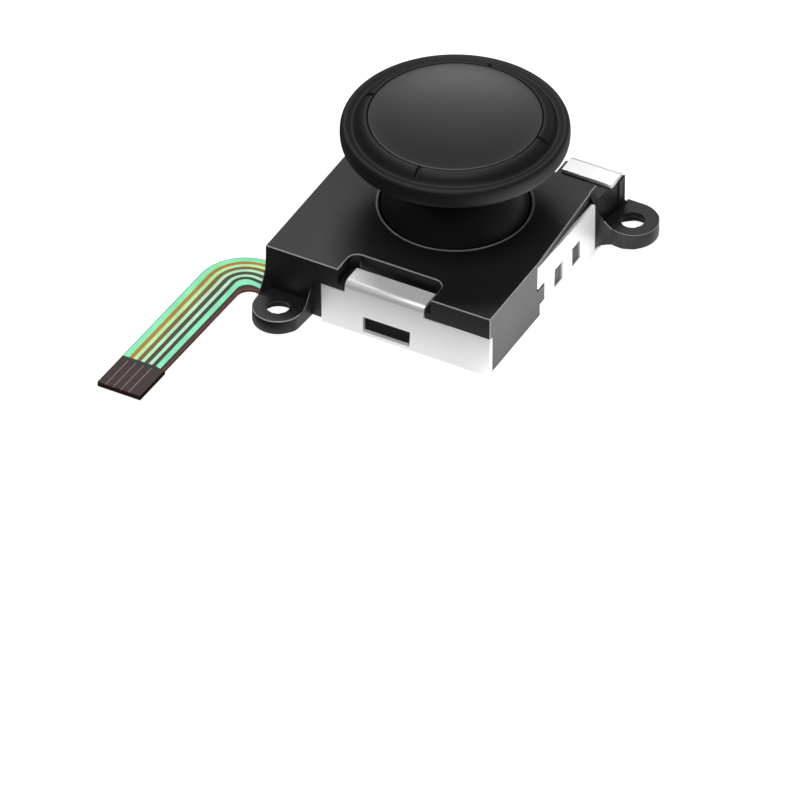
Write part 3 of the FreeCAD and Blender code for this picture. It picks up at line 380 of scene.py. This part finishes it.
MATERIALS = {
    "case_plastic": plastic(
        "black_case_plastic", (0.010, 0.010, 0.0105), (0.014, 0.014, 0.0145), 0.42, ior=1.37),
    # Painted highlight: light grey on the case's broken edges where light catches them.
    "case_edge": plastic(
        "painted_highlight_case_edge", (0.30, 0.30, 0.30), (0.42, 0.42, 0.42), 0.34),
    # Painted shade: darker plastic for the screw holes' walls and the room behind the window.
    "deep_plastic": plastic(
        "painted_shade_case_plastic", (0.006, 0.006, 0.0063), (0.009, 0.009, 0.0093), 0.6, ior=1.2),
    # Painted highlight: pale grey on the ring round the mouth.
    "mouth_edge": plastic(
        "painted_highlight_mouth_rim", (0.45, 0.45, 0.45), (0.6, 0.6, 0.6), 0.3),
    "cap_rubber": plastic(
        "cap_rubber", (0.007, 0.007, 0.0074), (0.010, 0.010, 0.0104), 0.58, ior=1.35, grains=9.0,
        depth=0.0009),
    "cap_top": plastic(
        "cap_disc_plastic", (0.011, 0.011, 0.0115), (0.014, 0.014, 0.0145), 0.29, ior=1.36,
        depth=0.0, spread=0.0),
    "stick_plastic": plastic(
        "dust_dome_plastic", (0.006, 0.006, 0.0063), (0.009, 0.009, 0.0093), 0.44, ior=1.38),
    "guide_plastic": plastic(
        "guide_plastic", (0.05, 0.05, 0.052), (0.07, 0.07, 0.072), 0.45),
    "slider_plastic": plastic(
        "slider_plastic", (0.62, 0.61, 0.57), (0.7, 0.69, 0.65), 0.42),
    "film": plastic(
        "switch_film", (0.62, 0.42, 0.12), (0.7, 0.48, 0.15), 0.25, grains=3.0, depth=0.0003),
    "carbon": plastic(
        "carbon_print", (0.012, 0.012, 0.012), (0.02, 0.02, 0.02), 0.65, grains=25.0, depth=0.001),
    "stiffener": plastic(
        "stiffener_board", (0.05, 0.028, 0.022), (0.075, 0.04, 0.03), 0.5),
    "flex_film": plastic(
        "film_edge", (0.10, 0.035, 0.022), (0.16, 0.06, 0.035), 0.35, grains=4.0, depth=0.0003),
    "conductor": plastic(
        "mint_trace", (0.12, 0.58, 0.28), (0.24, 0.66, 0.42), 0.38, grains=5.0, spread=0.08),
    "contact": plastic(
        "bare_contact", (0.040, 0.024, 0.023), (0.060, 0.038, 0.037), 0.42, grains=8.0),
    "sheet_metal": metal(
        "bright_sheet", (0.88, 0.88, 0.885), (0.95, 0.95, 0.95), 0.38, metallic=0.35),
    "sheet_edge": metal(
        "bright_sheet_edge", (0.93, 0.93, 0.93), (0.98, 0.98, 0.98), 0.30, metallic=0.6),
    "spring_metal": metal(
        "spring_steel", (0.55, 0.55, 0.56), (0.68, 0.68, 0.69), 0.22),
}


def dress_nodes():
    """Gives each CAD node the finish that its slot is named after."""
    for node in NODES.values():
        for slot in node.material_slots:
            word = slot.material.name.split(".")[0]
            if word in MATERIALS:
                slot.material = MATERIALS[word]


# Modelling by hand.


def clear_selection():
    """Leaves nothing selected, so that an operator touches only what comes next."""
    if bpy.context.object and bpy.context.object.mode != "OBJECT":
        bpy.ops.object.mode_set(mode="OBJECT")
    bpy.ops.object.select_all(action="DESELECT")


def pick(piece):
    """Leaves only this piece selected, and active."""
    clear_selection()
    bpy.context.view_layer.objects.active = piece
    piece.select_set(True)


def apply_modifier(piece, kind, **settings):
    """Adds a modifier, sets it and applies it."""
    modifier = piece.modifiers.new(kind.lower(), kind)
    for word, value in settings.items():
        setattr(modifier, word, value)
    pick(piece)
    bpy.ops.object.modifier_apply(modifier=modifier.name)


def combine(piece, operation, others):
    """Joins other shapes to a piece, or cuts them out of it."""
    for other in others:
        apply_modifier(piece, "BOOLEAN", operation=operation, solver="EXACT", object=other)
        bpy.data.objects.remove(other)


def smooth(piece, degrees=180):
    """Smooth shading up to an angle."""
    pick(piece)
    bpy.ops.object.shade_smooth_by_angle(angle=math.radians(degrees))


def place_piece(piece, body, slot, *nodes):
    """Says which body carries a piece and which nodes it stands for; its slot is not used."""
    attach(piece, body)
    if nodes:
        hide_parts(*nodes)


def wear(piece, *finishes):
    """Gives a piece these finishes and no others."""
    piece.data.materials.clear()
    for finish in finishes:
        piece.data.materials.append(MATERIALS[finish])


def lathe(name, profile):
    """Extrudes a profile point by point, in radius and height, and spins it about the stick."""
    clear_selection()
    bpy.ops.mesh.primitive_plane_add(size=MM, location=(0, 0, 0))
    piece = bpy.context.object
    piece.name = name
    piece.data.name = name
    bpy.ops.object.mode_set(mode="EDIT")
    bpy.ops.mesh.select_all(action="SELECT")
    bpy.ops.mesh.merge(type="CENTER")
    bpy.ops.mesh.select_all(action="SELECT")
    bpy.ops.transform.translate(value=(profile[0][0] * MM, 0, profile[0][1] * MM))
    for (radius, height), (last_radius, last_height) in zip(profile[1:], profile):
        step = ((radius - last_radius) * MM, 0, (height - last_height) * MM)
        bpy.ops.mesh.extrude_region_move(TRANSFORM_OT_translate={"value": step})
    bpy.ops.mesh.select_all(action="SELECT")
    bpy.ops.mesh.spin(steps=LATHE_STEPS, angle=2 * math.pi, center=(0, 0, 0), axis=(0, 0, 1))
    bpy.ops.mesh.select_all(action="SELECT")
    bpy.ops.mesh.remove_doubles(threshold=0.002 * MM)
    bpy.ops.mesh.select_all(action="SELECT")
    bpy.ops.mesh.normals_make_consistent(inside=False)
    bpy.ops.object.mode_set(mode="OBJECT")
    return piece


def rod(radius, length, place, tilt, sides):
    """A round bar of a length, tilted from upright and set in its place."""
    clear_selection()
    bpy.ops.mesh.primitive_cylinder_add(
        vertices=sides, radius=radius * MM, depth=length * MM,
        location=[value * MM for value in place], rotation=[math.radians(turn) for turn in tilt])
    bpy.ops.object.transform_apply(location=True, rotation=True, scale=True)
    return bpy.context.object


def block(name, low, high):
    """A box between two corners."""
    clear_selection()
    bpy.ops.mesh.primitive_cube_add(size=MM, location=(0, 0, 0))
    box = bpy.context.object
    box.name = name
    for vertex in box.data.vertices:
        vertex.co = Vector([
            (high[axis] if vertex.co[axis] > 0 else low[axis]) * MM for axis in range(3)])
    return box


def joined_copy(node, name):
    """A node's own shape with its triangles joined into whole faces."""
    mesh = NODES[node].data.copy()
    piece = bpy.data.objects.new(name, mesh)
    bpy.context.collection.objects.link(piece)
    pick(piece)
    bpy.ops.object.mode_set(mode="EDIT")
    bpy.ops.mesh.select_all(action="SELECT")
    bpy.ops.mesh.remove_doubles(threshold=0.001 * MM)
    bpy.ops.mesh.select_all(action="SELECT")
    bpy.ops.mesh.dissolve_limited(angle_limit=math.radians(1.0))
    bpy.ops.object.mode_set(mode="OBJECT")
    return piece


def mark_outer_edges(mesh):
    """Gives bevel weight to the sharp edges that stand out; those in a corner get none."""
    limit = math.cos(math.radians(SHARP))
    sides = {}
    for face in mesh.polygons:
        for key in face.edge_keys:
            sides.setdefault(key, []).append(face)
    weights = mesh.attributes.new("bevel_weight_edge", "FLOAT", "EDGE")
    for edge in mesh.edges:
        pair = sides.get(edge.key, [])
        if len(pair) != 2:
            continue
        first, second = pair
        sharp = first.normal.dot(second.normal) < limit
        outward = (second.center - first.center).dot(first.normal) < 0
        weights.data[edge.index].value = 1.0 if sharp and outward else 0.0


def break_edges(piece, width):
    """Breaks the sharp outer edges; the narrow new faces take the piece's second finish."""
    for face in piece.data.polygons:
        face.material_index = PLAIN
    mark_outer_edges(piece.data)
    apply_modifier(
        piece, "BEVEL", width=width * MM, segments=2, limit_method="WEIGHT",
        use_clamp_overlap=False, material=BROKEN, miter_outer="MITER_SHARP")
    smooth(piece, SHARP)
    apply_modifier(piece, "WEIGHTED_NORMAL", mode="FACE_AREA", weight=50, keep_sharp=True)


# Cap and dust dome.


def groove_cutter(index):
    """A round-bottomed bar across the roll, turned to its place."""
    bar = rod(
        GROOVE_RADIUS, GROOVE_LENGTH, (GROOVE_FROM_AXIS, 0, SEAM - 0.13), (0, 90 + GROOVE_TILT, 0), 24)
    bpy.ops.object.mode_set(mode="EDIT")
    bpy.ops.mesh.select_all(action="SELECT")
    bpy.ops.transform.resize(
        value=(1, 1, GROOVE_STRETCH), center_override=(GROOVE_FROM_AXIS * MM, 0, (SEAM - 0.03) * MM))
    bpy.ops.object.mode_set(mode="OBJECT")
    bar.rotation_euler = (0, 0, math.radians(GROOVE_TURN + 360 / GROOVES * index))
    bpy.ops.object.transform_apply(location=True, rotation=True, scale=True)
    return bar


def make_cap_ring():
    """Soft ring: inner roll, hollow, outer lip and a soft wall, with four short grooves."""
    ring = lathe("soft_cap_ring", [
        (RING_BORE, RING_FOOT), (RING_BORE, 10.40), (RING_BORE, 11.50), (RING_BORE, SEAM - 0.06),
        (5.72, SEAM - 0.01), (5.84, SEAM), (5.98, SEAM - 0.03), (6.12, SEAM - 0.10),
        (6.25, SEAM - 0.21), (6.36, SEAM - 0.35), (6.46, SEAM - 0.50), (6.56, SEAM - 0.62),
        (6.66, SEAM - 0.685), (6.77, SEAM - 0.67), (6.90, SEAM - 0.61), (7.04, SEAM - 0.55),
        (7.17, SEAM - 0.52), (7.28, SEAM - 0.545), (7.38, SEAM - 0.64), (7.45, SEAM - 0.80),
        (RING_WALL, SEAM - 1.04), (RING_WALL, 10.46), (7.45, 10.23), (7.37, 10.06), (7.25, 9.95),
        (7.05, 9.86), (6.70, 9.75), (6.30, 9.635), (5.90, 9.525), (5.74, 9.48),
        (RING_BORE, RING_FOOT),
    ])
    apply_modifier(ring, "SUBSURF", levels=2, render_levels=2)
    for index in range(GROOVES):
        combine(ring, "DIFFERENCE", [groove_cutter(index)])
    smooth(ring, 40)
    wear(ring, "cap_rubber")
    place_piece(ring, "stick", "cap_rubber", "cap_ring")


def make_cap_disc():
    """Top disc with its shallow dish and a soft edge."""
    disc = lathe("dished_cap_disc", [
        (0.0, DISC_UNDERSIDE), (2.0, DISC_UNDERSIDE), (4.5, DISC_UNDERSIDE), (5.63, DISC_UNDERSIDE),
        (DISC_RADIUS, 11.14), (DISC_RADIUS, 11.40), (DISC_RADIUS, SEAM - 0.05), (5.665, SEAM - 0.026),
        (5.645, SEAM - 0.014), (5.58, SEAM - 0.008), (5.1, SEAM - 0.036), (4.5, SEAM - 0.082),
        (3.6, SEAM - 0.148), (2.6, SEAM - 0.20), (1.5, SEAM - 0.236), (0.6, SEAM - 0.249),
        (0.0, SEAM - 0.25),
    ])
    apply_modifier(disc, "SUBSURF", levels=2, render_levels=2)
    smooth(disc)
    wear(disc, "cap_top")
    place_piece(disc, "stick", "cap_top", "cap_disc")


def ball_line(radius, angles):
    """Points of a ball's profile about the tilt's pivot, at angles above its middle."""
    turns = [math.radians(degrees) for degrees in angles]
    return [(radius * math.cos(turn), DOME_PIVOT + radius * math.sin(turn)) for turn in turns]


def make_dust_dome():
    """Dust dome: a ball shell about the pivot that sweeps up into the neck."""
    profile = ball_line(DOME_RADIUS, (5.57, 12, 19, 26, 33, 39, 45, 50))
    profile += [
        (2.86, 7.31), (2.56, 7.55), (2.37, 7.85), (NECK_RADIUS, 8.20), (NECK_RADIUS, 8.55),
        (NECK_RADIUS, NECK_TOP), (NECK_BORE, NECK_TOP), (NECK_BORE, 8.2),
    ]
    profile += ball_line(DOME_INSIDE, (74, 62, 50, 38, 26, 14, 6.04))
    profile.append(profile[0])
    dome = lathe("swept_dust_dome", profile)
    apply_modifier(dome, "SUBSURF", levels=1, render_levels=1)
    smooth(dome, 50)
    wear(dome, "stick_plastic")
    place_piece(dome, "stick", "stick_plastic", "dust_dome")


# Case and frame.


def case_finish(face):
    """Which finish a face of the case wears, by where it lies and which way it looks: painted
    highlights on edges and on the mouth's rim, painted shade in the holes and behind the window.
    """
    x, y, z = face.center / MM
    from_mouth = math.hypot(x, y)
    from_left = math.hypot(x - LEFT_EAR[0], y - LEFT_EAR[1])
    from_right = math.hypot(x - RIGHT_EAR[0], y - RIGHT_EAR[1])
    # Broken edges keep their painted highlight only on the top, on the ears' outer rims and at the
    # front right corner; elsewhere they go plain.
    if face.material_index == BROKEN:
        left_rim = from_left > LEFT_RIM and y < -CASE_FRONT - 0.15
        right_rim = from_right > RIGHT_RIM and x > CASE_SIDE + 0.25
        ear_rim = (left_rim or right_rim) and z > RIM_FOOT
        front_corner = x > CORNER_RIGHT and y < CORNER_FRONT
        return BROKEN if z > TOP_EDGES or ear_rim or front_corner else PLAIN
    # The narrow ring on the mouth's bead carries a painted highlight.
    if z > BEAD_SHOULDER and BRIGHT_FROM < from_mouth < BRIGHT_TO:
        return MOUTH_HIGHLIGHT
    # Rounded faces along the top carry the painted highlight too.
    rounded = 0.3 < face.normal.z < 0.93
    if z > TOP_EDGES and rounded:
        return BROKEN
    # The screw holes' walls and the room behind the front window are painted in shade.
    upright = abs(face.normal.z) < 0.3
    if upright and min(from_left, from_right) < SCREW_HOLE and z < EAR_TOP:
        return PAINTED_SHADE
    to_front = face.normal.y < -0.9
    if to_front and ROOM_FRONT < y < ROOM_BACK and abs(x) < ROOM_SIDE and z < ROOM_TOP:
        return PAINTED_SHADE
    return PLAIN


def make_case():
    """Moulded case, with a low bead round the mouth and the right ear's far ridge run down."""
    case = joined_copy("case", "moulded_case")
    bead = lathe("mouth_bead", [
        (4.99, BEAD_FOOT), (4.985, BEAD_SHOULDER), (5.005, 4.735), (5.045, 4.76), (5.10, 4.768),
        (5.16, 4.764), (5.21, 4.752), (5.25, 4.735), (5.25, BEAD_FOOT), (4.99, BEAD_FOOT),
    ])
    skin = block(
        "rear_skin", (CASE_SIDE - SKIN, SKIN_FRONT, SKIN_FOOT), (CASE_SIDE, SKIN_BACK, SKIN_TOP))
    combine(case, "UNION", [bead, skin])
    hollow_middle = (HOLLOW_ACROSS, HOLLOW_MIDDLE, HOLLOW_HEIGHT)
    above = (CASE_SIDE + 0.01, RIDGE_FRONT, HOLLOW_HEIGHT)
    beside = (HOLLOW_ACROSS, RIDGE_FRONT, HOLLOW_HEIGHT - HOLLOW_RADIUS)
    behind = (CASE_SIDE - 0.06, RIDGE_BACK - 0.01, HOLLOW_HEIGHT - HOLLOW_RADIUS)
    combine(case, "DIFFERENCE", [
        rod(HOLLOW_RADIUS, HOLLOW_DEPTH, hollow_middle, (90, 0, 0), 48),
        block("above_hollow", above, (FAR_RIGHT, RIDGE_BACK, FAR_UP)),
        block("beside_hollow", beside, (FAR_RIGHT, RIDGE_BACK, FAR_UP)),
        block("behind_hollow", behind, (FAR_RIGHT, FAR_BACK, FAR_UP)),
    ])
    # The case's second finish is the painted highlight on its broken edges.
    wear(case, "case_plastic", "case_edge")
    break_edges(case, CASE_BREAK)
    # Third finish: the painted highlight on the mouth's rim.
    case.data.materials.append(MATERIALS["mouth_edge"])
    # Fourth finish: painted shade.
    case.data.materials.append(MATERIALS["deep_plastic"])
    # Paint the highlights and the shade onto the case's faces.
    for face in case.data.polygons:
        face.material_index = case_finish(face)
    place_piece(case, "base", "case_plastic", "case")


def make_frame_sheet():
    """Folded sheet frame with softened sheared edges."""
    sheet = joined_copy("metal_frame", "folded_frame")
    wear(sheet, "sheet_metal", "sheet_edge")
    break_edges(sheet, SHEET_BREAK)
    place_piece(sheet, "base", "sheet_metal", "metal_frame")


# Spring and switch.


def make_spring():
    """Return spring in two halves, cut at its middle, between its seat and the lever."""
    halves = (
        ("spring_lower_half", False, "press", "gimbal", SPRING_SEAT, SPRING_MIDDLE),
        ("spring_upper_half", True, "gimbal", "stick", SPRING_MIDDLE, SPRING_TOP),
    )
    for name, above, first, second, low, high in halves:
        half = joined_copy("return_spring", name)
        bpy.ops.object.mode_set(mode="EDIT")
        bpy.ops.mesh.select_all(action="SELECT")
        bpy.ops.mesh.bisect(
            plane_co=(0, 0, SPRING_MIDDLE * MM), plane_no=(0, 0, 1), use_fill=True,
            clear_inner=above, clear_outer=not above)
        bpy.ops.object.mode_set(mode="OBJECT")
        wear(half, "spring_metal")
        smooth(half, 65)
        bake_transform(half)
        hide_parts("return_spring")


def make_switch():
    """Snap dome and its film."""
    for node, name, slot, keep in (
            ("switch_dome", "snap_dome", "spring_metal", 0.2),
            ("dome_film", "snap_dome_film", "film", 0.24)):
        piece = joined_copy(node, name)
        smooth(piece, 40)
        wear(piece, slot)
        place_piece(piece, "base", slot, node)
        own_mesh(piece)


# Flexible tail.


def tail_point(share, along):
    """A point of the tail's plan: share 0 is its outer edge and 1 its inner one.

    Along runs from 0 at the case to 1 where the bend starts, 2 where it ends and 3 at the end.
    """
    lean = math.radians(EXIT_LEAN - share * EXIT_FAN)
    slant = math.radians(RUN_SLANT)
    exit_way = Vector((-math.cos(lean), -math.sin(lean)))
    run_way = Vector((-math.sin(slant), -math.cos(slant)))
    run_side = Vector((-math.cos(slant), math.sin(slant)))
    exit_point = Vector((-CASE_LEFT, EXIT_GAP - CASE_FRONT + (1 - share) * EXIT_WIDE))
    run_point = Vector((-CASE_LEFT - RUN_MIDDLE, -CASE_FRONT)) + run_side * (0.5 - share) * TAIL_WIDE
    reach = (run_point - exit_point).cross(run_way) / exit_way.cross(run_way)
    corner = exit_point + exit_way * reach
    radius = max(OUTER_BEND + share * (INNER_BEND - OUTER_BEND), LEAST_BEND * share)
    turn = exit_way.angle(run_way)
    back = radius * math.tan(turn / 2)
    if along <= 1:
        return exit_point.lerp(corner - exit_way * back, along)
    if along >= 2:
        length = (CASE_FRONT + RUN_REACH + corner.y) / math.cos(slant)
        return (corner + run_way * back).lerp(corner + run_way * length, along - 2)
    into = (run_way - exit_way).normalized()
    centre = corner + into * (radius / math.cos(turn / 2))
    arm = corner - exit_way * back - centre
    spin = turn * (along - 1)
    return centre + Vector((
        arm.x * math.cos(spin) - arm.y * math.sin(spin),
        arm.x * math.sin(spin) + arm.y * math.cos(spin),
    ))


def make_tail_cover():
    """Printed cover of the tail: a grid laid along the tail, so that its colours follow the bend."""
    clear_selection()
    bpy.ops.mesh.primitive_grid_add(
        x_subdivisions=CELLS_ACROSS, y_subdivisions=CELLS_ALONG, size=1, calc_uvs=True)
    cover = bpy.context.object
    cover.name = "tail_cover"
    for vertex in cover.data.vertices:
        along = (vertex.co.y + 0.5) * SHARES
        if along > 2:
            along = 2 + (along - 2) / RUN_SHARES
        flat = tail_point(vertex.co.x + 0.5, min(along, 3.0))
        vertex.co = Vector((flat.x, flat.y, FILM_TOP)) * MM
    cover.data.update()
    if cover.data.polygons[0].normal.z < 0:
        cover.data.flip_normals()
    apply_modifier(cover, "SOLIDIFY", thickness=COVER_SHEET * MM, offset=1.0)
    cover.data.materials.append(cover_material())
    place_piece(cover, "base", "flex_film")


def striped(wire, source, stripes):
    """Colours in stripes across a value; each stripe has its start and its colour."""
    made = wire.node("ShaderNodeValToRGB")
    ramp_data = made.color_ramp
    while len(ramp_data.elements) > 1:
        ramp_data.elements.remove(ramp_data.elements[-1])
    ramp_data.interpolation = "CONSTANT"
    start, colour = stripes[0]
    ramp_data.elements[0].position = start
    ramp_data.elements[0].color = (*colour, 1)
    for start, colour in stripes[1:]:
        ramp_data.elements.new(start).color = (*colour, 1)
    wire.link(*source, made, "Fac")
    return made


def cover_stripes():
    """The cover's colours from the outer edge: traces, the gaps between them and the margins."""
    traces = (
        (0.04, 0.46, (0.30, 1.0, 0.56), (0.50, 0.26, 0.02)),
        (0.76, 1.02, (0.60, 1.0, 0.50), (0.22, 0.16, 0.03)),
        (1.33, 1.58, (0.62, 1.0, 0.66), (0.07, 0.075, 0.03)),
        (1.89, 2.14, (0.56, 1.0, 0.70), (0.05, 0.045, 0.03)),
        (2.42, 2.80, (0.30, 1.0, 0.60), (0.045, 0.026, 0.020)),
    )
    stripes = [(0.0, (0.05, 0.20, 0.16))]
    for start, end, mint, gap in traces:
        stripes += [(start / TAIL_WIDE, mint), (end / TAIL_WIDE, gap)]
    stripes.append((3.02 / TAIL_WIDE, (0.16, 0.04, 0.028)))
    return stripes


def end_stripes():
    """The end zone's colours: a fine light line between each two contacts."""
    dark = (0.035, 0.018, 0.018)
    light = (0.26, 0.17, 0.17)
    half_line = 0.010
    stripes = [(0.0, dark)]
    for index in range(CONTACTS - 1):
        middle = (CONTACT_FIRST + (index + 0.5) * CONTACT_PITCH) / TAIL_WIDE
        stripes += [(middle - half_line, light), (middle + half_line, dark)]
    return stripes


def cover_material():
    """Cover film with the traces that show through it, its bare edge and the dark end zone."""
    material, shader, wire = new_material("tail_cover_film")
    place = wire.node("ShaderNodeTexCoord")
    split = wire.node("ShaderNodeSeparateXYZ")
    wire.link(place, "UV", split, "Vector")
    mottle = wire.noise((place, "Object"), 2.0, 0.8 / MM)
    dusk = wire.node("ShaderNodeMapRange")
    dusk.inputs["From Min"].default_value = 0.3
    dusk.inputs["From Max"].default_value = 0.7
    dusk.inputs["To Min"].default_value = 0.80
    dusk.inputs["To Max"].default_value = 1.0
    wire.link(mottle, "Fac", dusk, "Value")
    run = striped(wire, (split, "X"), cover_stripes())
    aged = wire.node("ShaderNodeVectorMath", operation="SCALE")
    wire.link(run, "Color", aged, 0)
    wire.link(dusk, "Result", aged, "Scale")
    past_edge = wire.math("GREATER_THAN", (split, "Y"), EDGE_START)
    edged = wire.node("ShaderNodeMix", data_type="RGBA")
    wire.link(*past_edge, edged, 0)
    wire.link(aged, "Vector", edged, 6)
    edged.inputs[7].default_value = (0.022, 0.026, 0.022, 1)
    ends = striped(wire, (split, "X"), end_stripes())
    in_zone = wire.math("GREATER_THAN", (split, "Y"), END_START)
    colour = wire.node("ShaderNodeMix", data_type="RGBA")
    wire.link(*in_zone, colour, 0)
    wire.link(edged, 2, colour, 6)
    wire.link(ends, "Color", colour, 7)
    wire.link(colour, 2, shader, "Base Color")
    grain = wire.node("ShaderNodeGroup", node_tree=GRAIN)
    grain.inputs["Roughness"].default_value = 0.42
    wire.link(grain, "Roughness", shader, "Roughness")
    shader.inputs["IOR"].default_value = 1.3
    return material


# Studio.


def soft_step(wire, source, start, end, low, high):
    """A value that goes softly from low to high between two places."""
    step = wire.node("ShaderNodeMapRange", interpolation_type="SMOOTHSTEP")
    step.inputs["From Min"].default_value = start * MM
    step.inputs["From Max"].default_value = end * MM
    step.inputs["To Min"].default_value = low
    step.inputs["To Max"].default_value = high
    wire.link(*source, step, "Value")
    return step, 0


def mix_shaders(wire, factor, first, second):
    """A mix of two shaders; the factor is a number or a node with its socket."""
    mix = wire.node("ShaderNodeMixShader")
    if isinstance(factor, tuple):
        wire.link(*factor, mix, 0)
    else:
        mix.inputs[0].default_value = factor
    wire.link(first, 0, mix, 1)
    wire.link(second, 0, mix, 2)
    return mix


def floor_material():
    """A white floor that glows. Camera rays see it evenly bright; every other ray sees a painted pool
    of light on it, brighter to the right and shaded off in front, behind and to the left, for what the
    module mirrors and how it is lit.
    """
    material, shader, wire = new_material("pale_floor")
    shader.inputs["Base Color"].default_value = (0.97, 0.97, 0.97, 1)
    shader.inputs["Roughness"].default_value = 0.9
    shader.inputs["Specular IOR Level"].default_value = 0.0
    glow = wire.node("ShaderNodeEmission")
    glow.inputs["Strength"].default_value = 1.36
    seen = mix_shaders(wire, 0.70, shader, glow)
    place = wire.node("ShaderNodeTexCoord")
    split = wire.node("ShaderNodeSeparateXYZ")
    wire.link(place, "Object", split, "Vector")
    # Painted pool of light on the floor, seen by all rays but the camera's: strong to the right, faint
    # in front, behind and to the left.
    front = soft_step(wire, (split, "Y"), -15.2, -12.6, 0.03, 1.15)
    right = soft_step(wire, (split, "X"), 6.0, 10.0, 0.95, 2.15)
    behind = soft_step(wire, (split, "Y"), 2.0, 7.0, 1.0, 0.40)
    left = soft_step(wire, (split, "X"), -10.5, -7.0, 0.2, 1.0)
    across = wire.math("MULTIPLY", front, right)
    along = wire.math("MULTIPLY", left, behind)
    painted_pool = wire.math("MULTIPLY", across, along)
    mirrored = wire.node("ShaderNodeEmission")
    wire.link(*painted_pool, mirrored, "Strength")
    path = wire.node("ShaderNodeLightPath")
    above = mix_shaders(wire, (path, "Is Camera Ray"), mirrored, seen)
    geometry = wire.node("ShaderNodeNewGeometry")
    clear = wire.node("ShaderNodeBsdfTransparent")
    one_sided = mix_shaders(wire, (geometry, "Backfacing"), above, clear)
    wire.link(one_sided, 0, material.node_tree.nodes["Material Output"], "Surface")
    return material


def make_softbox(name, way, wide, tall, radiance):
    """A rectangular light that faces the module, with its brightness given as seen from there."""
    data = bpy.data.lights.new(name, "AREA")
    data.shape = "RECTANGLE"
    data.size = wide * MM
    data.size_y = tall * MM
    data.energy = radiance * data.size * data.size_y * math.pi
    light = bpy.data.objects.new(name, data)
    bpy.context.collection.objects.link(light)
    light.location = (way * LIGHT_DISTANCE + Vector((0, 0, LIGHT_AIM))) * MM
    light.rotation_euler = (-way).to_track_quat("-Z", "Y").to_euler()
    light.visible_camera = False


def make_studio():
    """A pale studio: a floor that glows with a painted pool of light, and two soft lights."""
    bpy.context.scene.view_settings.view_transform = "Standard"
    world = bpy.data.worlds.new("studio")
    bpy.context.scene.world = world
    world.use_nodes = True
    background = world.node_tree.nodes["Background"]
    background.inputs["Color"].default_value = (1, 1, 1, 1)
    background.inputs["Strength"].default_value = WORLD_LIGHT
    clear_selection()
    bpy.ops.mesh.primitive_plane_add(size=FLOOR_SIZE * MM, location=(0, 0, FLOOR_HEIGHT * MM))
    floor = bpy.context.object
    floor.name = "floor"
    floor.data.materials.append(floor_material())
    make_softbox("key_softbox", toward(216, 56), 120, 110, 8.6)
    make_softbox("front_softbox", toward(15, 70), 160, 160, 6.0)


dress_nodes()
make_cap_ring()
make_cap_disc()
make_dust_dome()
make_case()
make_frame_sheet()
make_tail_cover()
make_spring()
make_switch()
make_camera()
make_studio()
